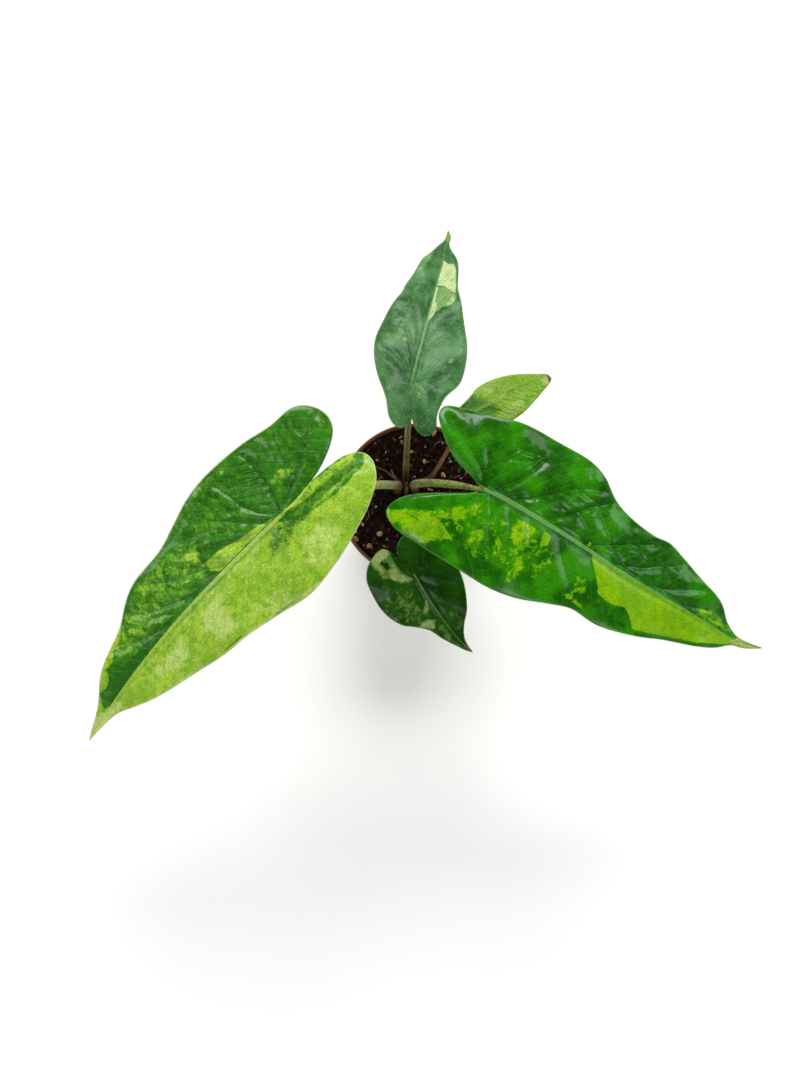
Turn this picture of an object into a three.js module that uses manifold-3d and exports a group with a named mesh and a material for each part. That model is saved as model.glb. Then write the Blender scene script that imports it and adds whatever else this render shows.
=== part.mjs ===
// A young variegated arrowhead alocasia in a small round nursery pot, in millimetres, +Z up.
// The origin is the centre of the pot's flat base. Five leaves rise from one corm: two large
// ones that arch out left and right, a middling one at the back and two small old ones below.
import * as THREE from "three";
import { mergeVertices } from "three/addons/utils/BufferGeometryUtils.js";
import Module from "manifold-3d";

const wasm = await Module();
wasm.setup();

// Pot, a thin tapered plastic nursery pot with a rolled lip
const POT_HEIGHT = 68;
const RIM_RADIUS = 37.5;
const BASE_RADIUS = 26;
const POT_WALL = 0.8;
const FLOOR_THICKNESS = 1.6;
const LIP_HEIGHT = 6;
const LIP_STEP = 0.5;
const LIP_TOP_WIDTH = 1.1;
const DRAIN_HOLES = 6;
const DRAIN_RADIUS = 3;
const DRAIN_CIRCLE = 18;
const POT_SIDES = 56;

// Potting mix, filled almost to the top of the lip
const SOIL_LEVEL = 65.8;
const SOIL_GAP = 0.35;
const SOIL_RELIEF = 0.8;
const SOIL_RINGS = 9;
const SOIL_SIDES = 36;
const GRANULES = 34;

// Corm, the swollen stem base hidden in the mix, with a flat brown sheath between the leaf stalks
const CORM_AXIS = [-4.6, 4.4];
const CORM_BOTTOM = 38;
const CORM_TOP = 61.2;
const CORM_RADIUS = 9.6;
const SHEATH_AXIS = [-4.75, 3.4];
const SHEATH_HALF_WIDTH = 1.1;
const SHEATH_HALF_DEPTH = 1.9;
const SHEATH_TOP = 96;

// Fits between pieces, and the thickness of a leaf
const FIT_GAP = 0.33;
const BLADE_THICKNESS = 0.9;
const EDGE_THICKNESS = 0.7;

const COLOURS = {
  pot: { color: 0x8a4f33, roughness: 0.55 },
  soil: { color: 0x1e1611, roughness: 0.95 },
  corm: { color: 0x7a4a36, roughness: 0.7 },
  newStalk: { color: 0x7f8f4a, roughness: 0.5 },
  oldStalk: { color: 0x7a6a40, roughness: 0.6 },
  limeBlade: { color: 0x6aa028, roughness: 0.45 },
  glossBlade: { color: 0x2f8a10, roughness: 0.3 },
  greyBlade: { color: 0x4c7c55, roughness: 0.5 },
  yellowBlade: { color: 0x84ad45, roughness: 0.5 },
  darkBlade: { color: 0x2c5a2c, roughness: 0.45 },
};

// Each leaf: where its stalk joins the blade, how the blade lies, and its outline.
// An outline point is [distance along the midrib from the joint, distance to the left of it];
// each side runs from the tip round the basal lobe to the notch between the lobes.
const LEAVES = [
  {
    name: "left_leaf",
    colour: "limeBlade",
    stalkColour: "newStalk",
    joint: [-56.3, -15.7, 150],
    heading: 223.7,
    pitch: 9,
    droop: 26.7,
    lift: 22,
    fold: 10,
    arch: 7,
    length: 145,
    lobe: 42,
    halfWidth: 34,
    tip: [145, 6.8],
    notch: [-18.3, -1.4],
    fan: 0,
    fanSlant: 9,
    left: [
      [134, 7.2], [122, 8], [111, 12], [93, 17.6], [75, 21.5], [58, 25], [44, 26.4], [30, 29],
      [13, 32.3], [-3, 30.5], [-17, 26.6], [-29, 22.3], [-37.5, 17], [-42.3, 9.5], [-41.8, 4.2],
      [-37.5, 0.6], [-28, -1],
    ],
    right: [
      [132, 1.8], [118, -4.6], [104, -10.5], [90, -15.5], [77, -21.3], [66, -24.2], [50, -25.7],
      [38, -29.2], [24, -32.5], [8, -34], [-8, -33], [-22, -29.6], [-34, -29], [-40, -24.5],
      [-42.4, -18], [-40.4, -11.8], [-34, -6.8], [-25, -3],
    ],
    waves: 5,
    waveHeight: 1.8,
    costaDrop: 0.1,
    veins: 11,
    quilt: 0.5,
    sweepPower: 3,
    rib: 1.9,
    stalk: {
      radius: [2.2, 1.55],
      path: [
        [-8.9, 5, 57], [-8.6, 4.6, 75], [-8.4, 2.2, 104], [-10.4, -0.8, 127], [-18.5, -2.9, 142],
        [-34, -7, 147.6],
      ],
    },
    rays: [22, 14],
  },
  {
    name: "right_leaf",
    colour: "glossBlade",
    stalkColour: "newStalk",
    joint: [25.8, -5.6, 150],
    heading: -30,
    pitch: 8,
    droop: 26,
    lift: 22,
    fold: 6,
    arch: 6,
    length: 158,
    lobe: 31,
    halfWidth: 35,
    tip: [158, 8.8],
    notch: [0, 0],
    fan: 6,
    fanSlant: 12,
    left: [
      [149, 7], [140.5, 6.3], [133, 9], [124.5, 13.4], [108, 17.4], [96, 21.2], [84, 23], [74, 21.6],
      [63, 23], [52, 26.4], [43, 31.2], [34, 33.9], [18, 34.1], [2, 32.4], [-12, 28.7], [-24, 25.7],
      [-30.5, 22.5], [-30.8, 18.5], [-26.6, 13.3], [-18, 6.9], [-7, 3.2],
    ],
    right: [
      [148, 4], [140.8, 1.9], [132, -2.8], [120, -8.2], [104, -13.7], [88, -19.4], [74, -23],
      [58, -23.2], [47, -26.8], [36, -31], [22, -33.4], [5, -33.2], [-12, -32.4], [-24, -31.4],
      [-29.6, -27.5], [-29, -22.5], [-24, -15.9], [-13, -9.2], [-3, -3.2],
    ],
    waves: 6,
    waveHeight: 1.8,
    costaDrop: 0.3,
    veins: 11,
    quilt: 0.6,
    sweepPower: 4,
    rib: 2,
    stalk: {
      radius: [2.25, 1.5],
      path: [
        [-0.2, 5, 57], [-0.8, 4.6, 75], [-1.6, 2.4, 104], [0, 0.3, 124], [6.4, -1.3, 137.5],
        [17, -3.4, 145.4],
      ],
    },
    rays: [24, 14],
  },
  {
    name: "back_leaf",
    colour: "greyBlade",
    stalkColour: "oldStalk",
    joint: [-2.9, 41.3, 138],
    heading: 76.8,
    pitch: 14,
    droop: 22,
    lift: 24,
    fold: 6,
    arch: 3,
    length: 92,
    lobe: 21,
    halfWidth: 20,
    tip: [92, 1.4],
    notch: [-14.7, -3.4],
    fan: 1,
    fanSlant: 7,
    left: [
      [87, 1.4], [83, 2], [78.5, 4.6], [68.5, 8.5], [58, 11], [51, 13.3], [44, 14.2], [33, 17.7],
      [20, 19.8], [11, 19], [0, 14.5], [-10, 8.8], [-17.5, 5.3], [-20.2, 1], [-18.4, -2.2],
    ],
    right: [
      [87.5, -0.4], [83, -0.6], [78, -2.4], [67.7, -7.1], [54, -9.7], [42, -13.7], [31, -17.6],
      [18, -20.4], [6, -20], [-4, -15.2], [-11, -13.8], [-18, -14.3], [-21.2, -11], [-19.5, -6.8],
    ],
    waves: 5,
    waveHeight: 1.2,
    costaDrop: 0.15,
    veins: 9,
    quilt: 0.35,
    sweepPower: 3,
    rib: 1.3,
    stalk: {
      radius: [1.7, 1.15],
      path: [[-5, 9.4, 57], [-5.1, 9.7, 72], [-4.9, 14.6, 98], [-4.4, 23.6, 120], [-3.6, 33, 132]],
    },
    rays: [18, 12],
  },
  {
    name: "small_back_leaf",
    colour: "yellowBlade",
    stalkColour: "oldStalk",
    joint: [20.7, 31.6, 113],
    heading: 25,
    pitch: 12,
    droop: 16,
    lift: 14,
    fold: 6,
    arch: 2,
    length: 50,
    lobe: 9,
    halfWidth: 11,
    tip: [50.2, 2.4],
    notch: [-3, 0],
    fan: 1,
    fanSlant: 4,
    left: [
      [48.6, 4.3], [44.8, 5.6], [37, 8.5], [28.5, 10.2], [19, 11], [12, 10], [6, 7.2], [0, 4.9],
      [-5, 4], [-8.2, 2.6], [-6.6, 0.7],
    ],
    right: [
      [48.8, 0.8], [44.8, -1.2], [36.4, -4.9], [28, -8.2], [20, -9.6], [11, -9.6], [3, -7.2],
      [-4, -4.8], [-8.3, -3], [-6.6, -0.7],
    ],
    waves: 3,
    waveHeight: 0.6,
    costaDrop: 0.1,
    veins: 7,
    quilt: 0.2,
    sweepPower: 2,
    rib: 0.9,
    stalk: {
      radius: [1.15, 0.85],
      path: [[0.8, 9.5, 57], [1.2, 9.4, 64], [3.6, 9.2, 70], [7.3, 10.4, 77], [15.2, 21.5, 95]],
    },
    rays: [14, 8],
  },
  {
    name: "small_front_leaf",
    colour: "darkBlade",
    stalkColour: "oldStalk",
    joint: [-2, -38.2, 106],
    heading: -53,
    pitch: 18,
    droop: 24,
    lift: 20,
    fold: 8,
    arch: 3,
    length: 52,
    lobe: 17,
    halfWidth: 20,
    tip: [52.3, 1.4],
    notch: [-7.7, -0.9],
    fan: 1,
    fanSlant: 6,
    left: [
      [47.5, 1.2], [42.7, 1.9], [36, 5.6], [28, 11.4], [19, 16.4], [10.3, 18.4], [1, 18.7], [-8, 17],
      [-14.3, 12.5], [-16.6, 7.5], [-14.9, 2.4], [-11, 0],
    ],
    right: [
      [48.5, -0.8], [43, -3.2], [34, -6.4], [27, -8.8], [21.6, -13], [16, -17.6], [7, -20.7],
      [-3, -20.2], [-11, -18], [-15.8, -12.8], [-17.6, -5], [-15.5, -2.6],
    ],
    waves: 4,
    waveHeight: 0.9,
    costaDrop: 0.15,
    veins: 8,
    quilt: 0.3,
    sweepPower: 3,
    rib: 1,
    stalk: {
      radius: [1.3, 0.95],
      path: [[-3.6, -0.9, 57], [-3.8, -1.2, 68], [-3.9, -6.4, 84], [-3.5, -18, 97.5], [-2.6, -29, 104]],
    },
    rays: [14, 10],
  },
];

// Where the points across a blade lie, from the midrib at 0 to the edge at 1
const ACROSS = [0, 0.07, 0.28, 0.54, 0.79, 1];

// How a blade is drawn: the rays crowd towards the tip, its margin's waves die out at the tip
// and at the notch, and the inner strip of each basal lobe hangs down past this share of the edge
const RAY_CROWDING = 0.93;
const WAVE_ENDS = 9;
const WAVE_POWER = 2.5;
const INNER_STRIP = 0.86;
const PUFF_POWER = 0.7;
const RIB_TAPER = 0.85;

// How a stalk is drawn, with the swollen sheath at its foot
const STALK_STEPS = 22;
const STALK_SIDES = 8;
const SHEATH_SWELL = 0.25;
const SHEATH_SHARE = 0.16;
const JOINT_ROOM = 24;

const radians = THREE.MathUtils.degToRad;

// Turns a closed geometry into a solid, and a solid back into a geometry
function solidFrom(geometry) {
  const bare = geometry.index ? geometry.toNonIndexed() : geometry.clone();
  bare.deleteAttribute("normal");
  bare.deleteAttribute("uv");
  const merged = mergeVertices(bare, 1e-4);
  return new wasm.Manifold(
    new wasm.Mesh({
      numProp: 3,
      vertProperties: merged.attributes.position.array,
      triVerts: new Uint32Array(merged.index.array),
    }),
  );
}

function geometryFrom(solid) {
  const mesh = solid.getMesh();
  const geometry = new THREE.BufferGeometry();
  geometry.setAttribute("position", new THREE.BufferAttribute(mesh.vertProperties, 3));
  geometry.setIndex(new THREE.BufferAttribute(mesh.triVerts, 1));
  geometry.computeVertexNormals();
  return geometry;
}

// Only the largest of the bodies that a cut leaves
function largestOf(solid) {
  return solid.decompose().reduce((a, b) => (b.volume() > a.volume() ? b : a));
}

// The room that a piece needs: the part of it inside a box, moved by the gap every way and joined
function roomAround(solid, centre, size, gap) {
  const box = new THREE.BoxGeometry(size, size, size).translate(...centre);
  const near = solid.intersect(solidFrom(box));
  const ways = [-1, 0, 1];
  const copies = ways.flatMap((x) =>
    ways.flatMap((y) =>
      ways.map((z) => {
        const reach = gap / Math.max(1, Math.hypot(x, y, z));
        return near.translate([x * reach, y * reach, z * reach]);
      }),
    ),
  );
  return wasm.Manifold.union(copies);
}

// A seeded random number generator, so that the granules fall the same way each time
function seeded(seed) {
  let state = seed;
  return () => {
    state = (state * 1664525 + 1013904223) % 4294967296;
    return state / 4294967296;
  };
}

// A solid of revolution about +Z from [radius, height] points that start and end on the axis
function turned(profile, sides) {
  const points = profile.map(([r, z]) => new THREE.Vector2(r, z));
  return new THREE.LatheGeometry(points, sides).rotateX(Math.PI / 2);
}

// The radius of the pot's inner wall at a height
function innerRadius(z) {
  const share = z / POT_HEIGHT;
  return BASE_RADIUS - POT_WALL + (RIM_RADIUS - LIP_STEP - BASE_RADIUS) * share;
}

function potSolid() {
  const wallTop = POT_HEIGHT - LIP_HEIGHT;
  const outer = (z) => innerRadius(z) + POT_WALL;
  const shell = solidFrom(
    turned(
      [
        [0, 0],
        [outer(0) - 1.2, 0],
        [outer(1.2), 1.2],
        [outer(wallTop), wallTop],
        [RIM_RADIUS - 0.5, wallTop + 0.6],
        [RIM_RADIUS, wallTop + 1.4],
        [RIM_RADIUS, POT_HEIGHT - 0.7],
        [RIM_RADIUS - 0.5, POT_HEIGHT],
        [RIM_RADIUS - LIP_TOP_WIDTH, POT_HEIGHT],
        [innerRadius(POT_HEIGHT - 1.5), POT_HEIGHT - 1.5],
        [innerRadius(wallTop), wallTop],
        [innerRadius(FLOOR_THICKNESS + 1), FLOOR_THICKNESS + 1],
        [innerRadius(FLOOR_THICKNESS) - 1, FLOOR_THICKNESS],
        [0, FLOOR_THICKNESS],
      ],
      POT_SIDES,
    ),
  );
  let pot = shell;
  for (let k = 0; k < DRAIN_HOLES; k++) {
    const angle = (2 * Math.PI * (k + 0.5)) / DRAIN_HOLES;
    const drill = new THREE.CylinderGeometry(DRAIN_RADIUS, DRAIN_RADIUS, 6, 16)
      .rotateX(Math.PI / 2)
      .translate(DRAIN_CIRCLE * Math.cos(angle), DRAIN_CIRCLE * Math.sin(angle), 0.5);
    pot = pot.subtract(solidFrom(drill));
  }
  return pot;
}

// The height of the mix: heaped a little towards the middle, with clods and hollows
function soilHeight(x, y) {
  const heap = 0.6 * Math.cos((Math.PI * Math.hypot(x, y)) / (2 * RIM_RADIUS));
  const clods =
    Math.sin(0.42 * x + 1.3) * Math.cos(0.37 * y - 0.6) +
    0.6 * Math.sin(0.83 * x - 0.51 * y + 2.1) +
    0.4 * Math.cos(1.27 * y + 0.33 * x);
  return SOIL_LEVEL + heap + (SOIL_RELIEF * clods) / 2;
}

// The body of the mix: a turned plug whose top follows soilHeight
function soilBody() {
  const bottom = FLOOR_THICKNESS + SOIL_GAP;
  const topRadius = innerRadius(SOIL_LEVEL) - SOIL_GAP;
  const rings = [];
  const ringAt = (radius, heightAt) => {
    const ring = [];
    for (let k = 0; k < SOIL_SIDES; k++) {
      const angle = (2 * Math.PI * k) / SOIL_SIDES;
      const x = radius * Math.cos(angle);
      const y = radius * Math.sin(angle);
      ring.push([x, y, heightAt(x, y)]);
    }
    rings.push(ring);
  };
  const lowRadius = innerRadius(bottom) - SOIL_GAP;
  ringAt(lowRadius - 1.4, () => bottom);
  ringAt(lowRadius, () => bottom + 1.4);
  ringAt(innerRadius(30) - SOIL_GAP, () => 30);
  for (let k = SOIL_RINGS; k > 0; k--) {
    ringAt((topRadius * k) / SOIL_RINGS, soilHeight);
  }
  const triangles = [];
  const lowCentre = [0, 0, bottom];
  const topCentre = [0, 0, soilHeight(0, 0)];
  for (let k = 0; k < SOIL_SIDES; k++) {
    const next = (k + 1) % SOIL_SIDES;
    triangles.push(lowCentre, rings[0][next], rings[0][k]);
    for (let r = 0; r + 1 < rings.length; r++) {
      triangles.push(rings[r][k], rings[r][next], rings[r + 1][next]);
      triangles.push(rings[r][k], rings[r + 1][next], rings[r + 1][k]);
    }
    const last = rings[rings.length - 1];
    triangles.push(last[k], last[next], topCentre);
  }
  return solidFrom(geometryOf(triangles));
}

// Pumice and bark granules, lumps that stand half out of the mix
function granuleSolids() {
  const random = seeded(20);
  const lumps = [];
  for (let k = 0; k < GRANULES; k++) {
    const reach = (innerRadius(SOIL_LEVEL) - 5) * Math.sqrt(random());
    const angle = 2 * Math.PI * random();
    const x = reach * Math.cos(angle);
    const y = reach * Math.sin(angle);
    const size = 0.9 + 0.9 * random();
    const lump = new THREE.IcosahedronGeometry(size, 0)
      .scale(1 + 0.5 * random(), 1, 0.8)
      .rotateX(2 * random())
      .rotateZ(6 * random())
      .translate(x, y, soilHeight(x, y) + 0.15);
    if (Math.hypot(x - CORM_AXIS[0], y - CORM_AXIS[1]) > CORM_RADIUS) lumps.push(solidFrom(lump));
  }
  return lumps;
}

// The corm with its sheath; grow makes it larger all round, to cut the room for it
function cormSolid(grow) {
  const widths = [
    [0, CORM_BOTTOM],
    [0.6, CORM_BOTTOM + 2],
    [0.9, CORM_BOTTOM + 6],
    [1, CORM_BOTTOM + 10],
    [1, CORM_BOTTOM + 14],
    [0.86, CORM_BOTTOM + 19],
    [0.55, CORM_TOP],
    [0, CORM_TOP + 0.6],
  ];
  const profile = widths.map(([share, z], k) => [
    k === 0 || k === widths.length - 1 ? 0 : share * CORM_RADIUS + grow,
    k === 0 ? z - grow : k === widths.length - 1 ? z + grow : z,
  ]);
  const body = turned(profile, 24).translate(CORM_AXIS[0], CORM_AXIS[1], 0);
  const sheath = turned(
    [
      [0, CORM_TOP - 6],
      [1, CORM_TOP - 6],
      [1, SHEATH_TOP - 18],
      [0.8, SHEATH_TOP - 8],
      [0.4, SHEATH_TOP - 2],
      [0, SHEATH_TOP],
    ],
    12,
  )
    .scale(SHEATH_HALF_WIDTH + grow, SHEATH_HALF_DEPTH + grow, 1)
    .translate(SHEATH_AXIS[0], SHEATH_AXIS[1], 0);
  return solidFrom(body).add(solidFrom(sheath));
}

// A geometry from corners in threes
function geometryOf(corners) {
  const geometry = new THREE.BufferGeometry();
  geometry.setAttribute("position", new THREE.Float32BufferAttribute(corners.flat(), 3));
  return geometry;
}

// The midrib's line at a flat distance along it: forward, down and slope
function midribAt(leaf, along) {
  const bend = along >= 0 ? radians(leaf.droop) / leaf.length : radians(leaf.lift) / leaf.lobe;
  const start = radians(leaf.pitch);
  const slope = start + bend * along;
  const forward = (Math.sin(slope) - Math.sin(start)) / bend;
  const down = (Math.cos(start) - Math.cos(slope)) / bend;
  return { forward, down, slope };
}

// How far the midrib itself swings to the left at a distance along it
function sweepAt(leaf, along) {
  return along > 0 ? leaf.tip[1] * (along / leaf.length) ** leaf.sweepPower : 0;
}

// A point of the blade's middle surface. around runs from 0 at the tip to 1 at the notch,
// across from 0 at the midrib to 1 at the edge.
function bladePoint(leaf, side, along, aside, around, across) {
  const { forward, down, slope } = midribAt(leaf, along);
  const off = aside - sweepAt(leaf, along);
  const away = Math.sqrt(off * off + 1) - 1;
  const reach = Math.hypot(along - leaf.fan, aside);
  const inner = THREE.MathUtils.smoothstep(around, INNER_STRIP, 1);
  const wave = Math.sin(2 * Math.PI * leaf.waves * around + (side > 0 ? 0.6 : 2.4));
  const ends = Math.min(1, around * WAVE_ENDS, (1 - around) * WAVE_ENDS);
  const puff = Math.abs(Math.sin(Math.PI * leaf.veins * around)) ** PUFF_POWER;
  const height =
    away * Math.sin(radians(leaf.fold)) -
    leaf.arch * (off / leaf.halfWidth) ** 2 +
    leaf.waveHeight * wave * ends * across ** WAVE_POWER -
    leaf.costaDrop * reach * inner +
    leaf.quilt * (puff - 0.5) * Math.sin(Math.PI * across) * ends;
  const heading = radians(leaf.heading);
  const level = off * Math.cos(radians(leaf.fold)) + sweepAt(leaf, along);
  const ahead = forward + height * Math.sin(slope);
  return new THREE.Vector3(
    leaf.joint[0] + ahead * Math.cos(heading) - level * Math.sin(heading),
    leaf.joint[1] + ahead * Math.sin(heading) + level * Math.cos(heading),
    leaf.joint[2] - down + height * Math.cos(slope),
  );
}

// One side's edge as a smooth curve from the tip to the notch
function edgeCurve(leaf, points) {
  const all = [leaf.tip, ...points, leaf.notch].map(([a, b]) => new THREE.Vector3(a, b, 0));
  return new THREE.CatmullRomCurve3(all, false, "centripetal");
}

// Where along a side's edge the rays stop leaving the midrib and start to fan out
function fanStart(leaf, curve) {
  let share = 0.3;
  while (curve.getPointAt(share).x > leaf.fan + leaf.fanSlant) share += 0.002;
  return share;
}

// A closed blade: rays run from the midrib to the edge, and fan out over the basal lobes
function bladeSolid(leaf) {
  const [frontRays, fanRays] = leaf.rays;
  const rays = frontRays + fanRays;
  const last = ACROSS.length - 1;
  const points = [];
  const thickness = [];
  const ribs = [];
  const named = new Map();
  const curves = { 1: edgeCurve(leaf, leaf.left), [-1]: edgeCurve(leaf, leaf.right) };
  const starts = { 1: fanStart(leaf, curves[1]), [-1]: fanStart(leaf, curves[-1]) };
  const nameOf = (side, i, j) => {
    if (i === 0) return "tip";
    if (j === 0) return "root" + Math.min(i, frontRays);
    return i === rays ? "seam" + j : side + "/" + i + "/" + j;
  };
  const vertex = (side, i, j) => {
    const shared = nameOf(side, i, j);
    if (named.has(shared)) return named.get(shared);
    const front = Math.min(i / frontRays, 1);
    const around =
      i <= frontRays
        ? starts[side] * front
        : starts[side] + ((1 - starts[side]) * (i - frontRays)) / fanRays;
    const edge = curves[side].getPointAt(Math.min(around, 1));
    const rootAlong = leaf.length - (leaf.length - leaf.fan) * front ** RAY_CROWDING;
    const root = new THREE.Vector3(rootAlong, sweepAt(leaf, rootAlong), 0);
    const across = i === 0 ? 0 : ACROSS[j];
    const flat = i === 0 ? edge : root.lerp(edge, across);
    const place = bladePoint(leaf, side, flat.x, flat.y, around, across);
    const towardsTip = Math.max(0, Math.min(1, flat.x / leaf.length));
    named.set(shared, points.length);
    points.push(place);
    thickness.push(THREE.MathUtils.lerp(BLADE_THICKNESS, EDGE_THICKNESS, across) / 2);
    ribs.push(j === 0 ? leaf.rib * (1 - RIB_TAPER * towardsTip) : 0);
    return points.length - 1;
  };
  const faces = [];
  const edges = [];
  const addFace = (side, face) => {
    if (new Set(face).size === 3) faces.push(side > 0 ? face : face.reverse());
  };
  for (const side of [1, -1]) {
    for (let i = 0; i < rays; i++) {
      for (let j = 0; j < last; j++) {
        const near = vertex(side, i, j);
        const far = vertex(side, i + 1, j + 1);
        addFace(side, [near, vertex(side, i, j + 1), far]);
        addFace(side, [near, far, vertex(side, i + 1, j)]);
      }
      const rim = [vertex(side, i, last), vertex(side, i + 1, last)];
      edges.push(side > 0 ? rim : rim.reverse());
    }
  }
  const normals = points.map(() => new THREE.Vector3());
  for (const [a, b, c] of faces) {
    const turn = new THREE.Vector3()
      .subVectors(points[b], points[a])
      .cross(new THREE.Vector3().subVectors(points[c], points[a]));
    for (const k of [a, b, c]) normals[k].add(turn);
  }
  const raised = (k, by) => points[k].clone().addScaledVector(normals[k].normalize(), by).toArray();
  const top = points.map((_, k) => raised(k, thickness[k]));
  const under = points.map((_, k) => raised(k, -thickness[k] - ribs[k]));
  const corners = [];
  for (const [a, b, c] of faces) corners.push(top[a], top[b], top[c], under[a], under[c], under[b]);
  for (const [a, b] of edges) corners.push(top[b], top[a], under[a], top[b], under[a], under[b]);
  return solidFrom(geometryOf(corners));
}

// A tapered round stalk along a smooth path, with grow added all round and at the foot
function stalkSolid(leaf, grow) {
  const joint = bladePoint(leaf, 1, leaf.fan / 2, 0, 0.5, 0);
  const before = leaf.stalk.path.map((p) => new THREE.Vector3(...p));
  before[0].z -= grow;
  const curve = new THREE.CatmullRomCurve3([...before, joint], false, "centripetal");
  const steps = STALK_STEPS;
  const sides = STALK_SIDES;
  const { normals, binormals } = curve.computeFrenetFrames(steps, false);
  const rings = [];
  for (let s = 0; s <= steps; s++) {
    const share = s / steps;
    const centre = curve.getPointAt(share);
    const [wide, slim] = leaf.stalk.radius;
    const sheath = SHEATH_SWELL * Math.max(0, 1 - share / SHEATH_SHARE);
    const radius = THREE.MathUtils.lerp(wide, slim, share) + sheath + grow;
    const ring = [];
    for (let k = 0; k < sides; k++) {
      const angle = (2 * Math.PI * k) / sides;
      ring.push(
        centre
          .clone()
          .addScaledVector(normals[s], radius * Math.cos(angle))
          .addScaledVector(binormals[s], radius * Math.sin(angle))
          .toArray(),
      );
    }
    rings.push(ring);
  }
  const corners = [];
  const foot = curve.getPointAt(0).toArray();
  const head = curve.getPointAt(1).toArray();
  for (let k = 0; k < sides; k++) {
    const next = (k + 1) % sides;
    corners.push(foot, rings[0][next], rings[0][k]);
    for (let s = 0; s < steps; s++) {
      corners.push(rings[s][k], rings[s][next], rings[s + 1][next]);
      corners.push(rings[s][k], rings[s + 1][next], rings[s + 1][k]);
    }
    corners.push(rings[steps][k], rings[steps][next], head);
  }
  return solidFrom(geometryOf(corners));
}

// Builds every solid, each cut back from the ones that it sits in or under
const group = new THREE.Group();

function add(name, solid, look) {
  const material = new THREE.MeshStandardMaterial({ ...COLOURS[look], metalness: 0 });
  const mesh = new THREE.Mesh(geometryFrom(solid), material);
  mesh.name = name;
  group.add(mesh);
}

let soil = soilBody();
for (const lump of granuleSolids()) soil = soil.add(lump);
soil = soil.subtract(cormSolid(FIT_GAP));
let corm = cormSolid(0);
const pieces = [];
for (const leaf of LEAVES) {
  const room = stalkSolid(leaf, FIT_GAP);
  soil = soil.subtract(room);
  corm = corm.subtract(room);
  const blade = bladeSolid(leaf);
  const stalk = stalkSolid(leaf, 0).subtract(roomAround(blade, leaf.joint, JOINT_ROOM, FIT_GAP));
  pieces.push([leaf, largestOf(stalk), blade]);
}
add("pot", potSolid(), "pot");
add("potting_mix", largestOf(soil), "soil");
add("corm", largestOf(corm), "corm");
for (const [leaf, stalk, blade] of pieces) {
  add(leaf.name + "_stalk", stalk, leaf.stalkColour);
  add(leaf.name + "_blade", blade, leaf.colour);
}

export default group;
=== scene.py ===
"""A variegated arrow-leaved alocasia in a small brown nursery pot, looked down on from above.

Each blade is a fine sheet bent over its midrib, with sunken veins and quilting, and is painted by
patches that are placed on the flat leaf. Stalks, mix, grains and pot are modelled at real size.
Tables below are in millimetres and degrees; MM turns them into metres.
"""
import math
import random

import bpy
import numpy as np
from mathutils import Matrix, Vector, noise


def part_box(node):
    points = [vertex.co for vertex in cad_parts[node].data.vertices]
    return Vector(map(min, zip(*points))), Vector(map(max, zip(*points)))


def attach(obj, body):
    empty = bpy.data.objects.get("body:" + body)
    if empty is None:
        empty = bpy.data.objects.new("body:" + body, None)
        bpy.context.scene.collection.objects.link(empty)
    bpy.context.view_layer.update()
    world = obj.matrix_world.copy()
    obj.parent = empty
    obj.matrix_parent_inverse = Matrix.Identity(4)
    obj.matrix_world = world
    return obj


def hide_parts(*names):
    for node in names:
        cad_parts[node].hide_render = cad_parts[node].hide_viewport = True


MM = 0.001

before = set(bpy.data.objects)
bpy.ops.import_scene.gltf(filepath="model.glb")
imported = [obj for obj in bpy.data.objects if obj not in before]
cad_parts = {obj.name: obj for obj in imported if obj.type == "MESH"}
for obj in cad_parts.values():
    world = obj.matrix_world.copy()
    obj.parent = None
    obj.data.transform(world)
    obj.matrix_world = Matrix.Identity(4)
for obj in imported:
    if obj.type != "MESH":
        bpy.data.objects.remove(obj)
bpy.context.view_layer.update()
pot_low, pot_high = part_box("pot")
mix_low, mix_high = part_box("potting_mix")

# Camera, where the photograph was taken from: above, a little in front, and turned 5 degrees to the back
CAMERA_AT = (-7.8, -60.4, 574.7)
CAMERA_LEAN = 5
CAMERA_LENS = 35.49
SENSOR_WIDTH = 36
NEAR_CLIP = 0.01

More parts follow.
